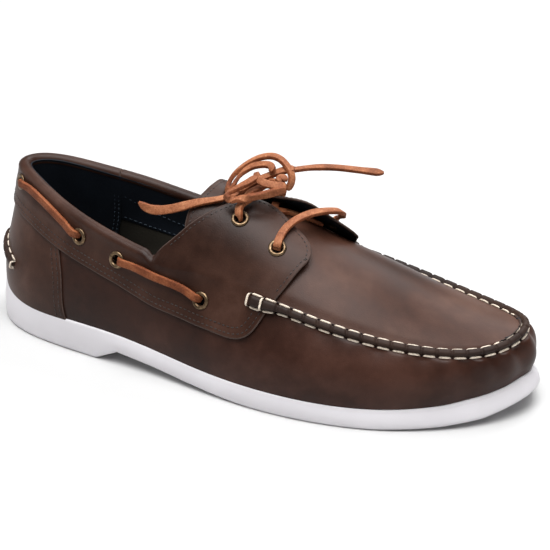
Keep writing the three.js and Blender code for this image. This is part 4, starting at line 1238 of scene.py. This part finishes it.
def make_side_laces():
    """The lengths that lie taut on the band, each out of one eyelet, over its lip and into the next."""
    share = np.linspace(0, 1, 90)
    for side, sign in SIDES.items():
        for name, (first, second) in SIDE_LACES.items():
            first, second = HOLES[side][first], HOLES[side][second]
            turn = between(sign * angle_at(first[0]), sign * angle_at(second[0]), share)
            up = between(first[1], second[1], share) + SIDE_LACE_RISE * share * (1 - share)
            run = run_along(collar_skin(turn, up))
            near = np.minimum(run, run[-1] - run)
            over = between(-2.6, 0.95, ease(near, 0.3, 3.2))
            lift = between(over, 0.25, ease(near, 4.6, 12)) + LACE["thick"] / 2
            lace_piece(f"side_lace_{side}_{name}_rawhide",
                       [lace_solid(collar_skin(turn, up, lift), normal_at(turn, up))],
                       [f"side_lace_{side}_{name}"], "rawhide_side")


# The lace's routes: over both tabs, then under them as places on the instep (share of the length, share
# of the half width), then the parts of the bow.
OVER_TABS = [
    (177.5, -24.6, 74.6), (177.4, -20.3, 77.7), (178.3, -13.5, 80.5), (181, -6.5, 82.1), (185.3, 0, 83),
    (190, 6.6, 82.3), (193.4, 11.6, 80.8), (194, 15.8, 78), (192.2, 19.6, 74.6), (188.5, 23.2, 71.6),
]
UNDER_TABS = [
    [(0.53, -0.33), (0.542, -0.05), (0.558, 0.13), (0.582, 0.28), (0.612, 0.4)],
    [(0.572, -0.38), (0.548, -0.12), (0.534, 0.1), (0.53, 0.25)],
]
BOW = {
    "lace_rise_lateral": [
        (155.6, -20.2, 84.4), (154.9, -19, 86.2), (154.8, -16.8, 87.9), (156, -13.6, 89.1),
        (158, -10, 90.2),
    ],
    "lace_rise_medial": [(160.2, 19.8, 82.6), (160, 18.8, 86.2), (159.8, 15.4, 89.2), (159.8, 11.2, 90.2)],
    "lace_end_left": [
        (151, -3, 90.3), (147.6, -6.4, 88.6), (143.5, -10, 87.4), (139.6, -13, 86.6), (132.4, -17, 85.6),
        (125.1, -21, 83.6), (115.7, -25, 81.6), (109.7, -28, 82.8), (106.4, -30, 86.1),
    ],
    "lace_end_right": [
        (165.8, 9.8, 98.2), (168.2, 13, 97.6), (173.6, 20, 97), (181.4, 27, 96.2), (189.1, 33, 94.6),
        (197.3, 38, 93), (205.3, 42, 91.8),
    ],
    "lace_loop_near": [
        (158.2, -6, 99.3), (156.6, -9, 98), (153, -13, 95.9), (149.5, -17, 93.9), (148.5, -19.5, 92.7),
        (150.2, -19.5, 91.5), (154, -18, 91.4), (158.7, -15.5, 92.1), (164, -12, 93),
        (169.3, -8.5, 94.2), (173.1, -5, 94.9),
    ],
    "lace_loop_far": [
        (170.6, 2, 91.5), (171.9, 3.5, 94.8), (171.2, 5.5, 98.3), (168, 7.5, 101.4), (163.9, 9, 103.7),
        (159.4, 9.5, 104.5), (154.5, 9, 103.6), (149.6, 7.5, 101.4), (145.1, 5, 98.1), (141.9, 2, 94.6),
        (140.5, -1, 91), (141.3, -4, 89.2), (144.1, -6.5, 89.6), (145.2, -5, 92.2), (146, -2, 95),
        (147.6, 1, 97.3), (151, 3.5, 99.8), (155.4, 5, 101.1), (160, 4.5, 101.7), (162.1, 3, 101),
        (161.8, 1.5, 99.6),
    ],
}
# Which way the lace's wide face looks along each route of the bow.
FACING = {
    "lace_rise_lateral": (-0.3, -0.9, 0.5),
    "lace_rise_medial": (-0.2, 0.9, 0.5),
    "lace_end_left": [(0.1, -0.3, 0.95), (0.1, -0.6, 0.8), (0.2, -0.9, 0.5), (0.3, -0.9, 0.2)],
    "lace_end_right": (-0.2, -0.5, 0.85),
    "lace_loop_near": [(0.0, -0.5, 0.9), (-0.5, -0.5, 0.7), (-0.9, -0.4, 0.1), (-0.2, -0.9, -0.4),
                       (0.1, -0.9, 0.1)],
    "lace_loop_far": [(0.8, -0.2, 0.1), (0.7, -0.2, 0.7), (0.0, -0.2, 1), (-0.7, -0.2, 0.7), (-1, -0.2, 0.1),
                      (-0.4, -0.5, 0.7), (-0.2, -0.3, 0.9)],
}
# How wide the two free ends are along their length, beside the lace's usual width.
WIDE = {
    "lace_end_left": [(0, 0.75), (0.3, 0.8), (0.6, 1.15), (0.82, 1.3), (0.94, 0.95), (1, 0.4)],
    "lace_end_right": [(0, 0.85), (0.8, 0.9), (0.93, 1.1), (1, 0.55)],
}
# The knot: short turns of lace round each other, each a route and the way its face looks.
KNOT_TURNS = [
    ([(157.2, -4, 100.5), (158.5, -6, 98.9), (161.4, -7.5, 97.7), (165.6, -7, 96.7), (169.8, -5.5, 96.3),
      (172.4, -3.5, 95.8)], (-0.1, -0.7, 0.7)),
    ([(171.6, 8, 100.6), (167.1, 7, 99.4), (163, 5, 97.9), (159.3, 2, 96.4), (155.7, -1, 94.6),
      (152.1, -4, 92.4), (148.9, -7, 90.5)], (-0.3, -0.6, 0.8)),
    ([(168, -2, 96.6), (167.5, 0, 97.5), (168.8, 1, 98), (170.5, 0, 96.8)], (0.5, -0.4, 0.9)),
    ([(156, -14, 89.7), (155.5, -11, 91), (157.6, -7, 92.6), (160.2, -4, 93.8), (162.8, -1, 95.3)],
     (-0.4, -0.6, 0.7)),
    ([(160, 11, 90.4), (163.5, 7.6, 91.6), (165.4, 4.4, 93.4), (164.4, 2, 95), (161.4, 0, 95.5)],
     (0.6, 0.5, 0.6)),
]

# The lengths of lace that come straight up out of the rear eyelet of a tab.
RISES = {"lace_rise_lateral": "lateral", "lace_rise_medial": "medial"}
REAR_TAB_HOLE = 4
FRONT_TAB_HOLE = 5
SUNK = {"rise": 1.6, "bar": 1.4}  # how deep in its eyelet each length starts


def make_bow():
    for name, route in BOW.items():
        if name in RISES:
            place, out = hole_place(RISES[name], REAR_TAB_HOLE)
            route = [place - out * SUNK["rise"], place, *route]
        path = through(route)
        piece = lace_piece(f"{name}_rawhide", [lace_solid(path, FACING[name], WIDE.get(name))], [name])


def make_knot():
    lace_piece("lace_knot_rawhide", [lace_solid(through(route), facing) for route, facing in KNOT_TURNS],
               ["lace_knot"])


def make_bars():
    """The lace over the tabs, into both front eyelets, and the two lengths that cross under them."""
    holes = [hole_place(side, FRONT_TAB_HOLE) for side in SIDES]
    first, last = (place - out * SUNK["bar"] for place, out in holes)
    path = through([first, *OVER_TABS, last])
    lace_piece("lace_over_tabs_rawhide", [lace_solid(path, (0.2, -0.2, 1))], ["lace_over_tabs"])
    t = np.linspace(0, 1, 50)
    parts = []
    for bar, route in enumerate(UNDER_TABS):
        turn, up = instep_turn(*cubic(np.linspace(0, 1, len(route)), route)(t).T)
        lift = 0.2 + LACE["thick"] / 2 + bar * 1.2 * np.exp(-((t - 0.5) / 0.2) ** 2)
        parts.append(lace_solid(skin(turn, up, lift), normal_at(turn, up)))
    lace_piece("lace_under_tabs_rawhide", parts, ["lace_under_tabs"])


# ---------------------------------------------------------------- the shoe
make_camera()
make_studio()
make_bow()
make_knot()
make_bars()
make_side_laces()
make_outsole()
make_insole()
make_wall()
make_plug()
make_counter()
collar_sides = {side: collar_grid(sign) for side, sign in SIDES.items()}
make_collars(collar_sides)
make_tongue()
make_lining()
make_moc_seam()
make_heel_seam()
make_eyelets()
make_panel_stitches(collar_sides)
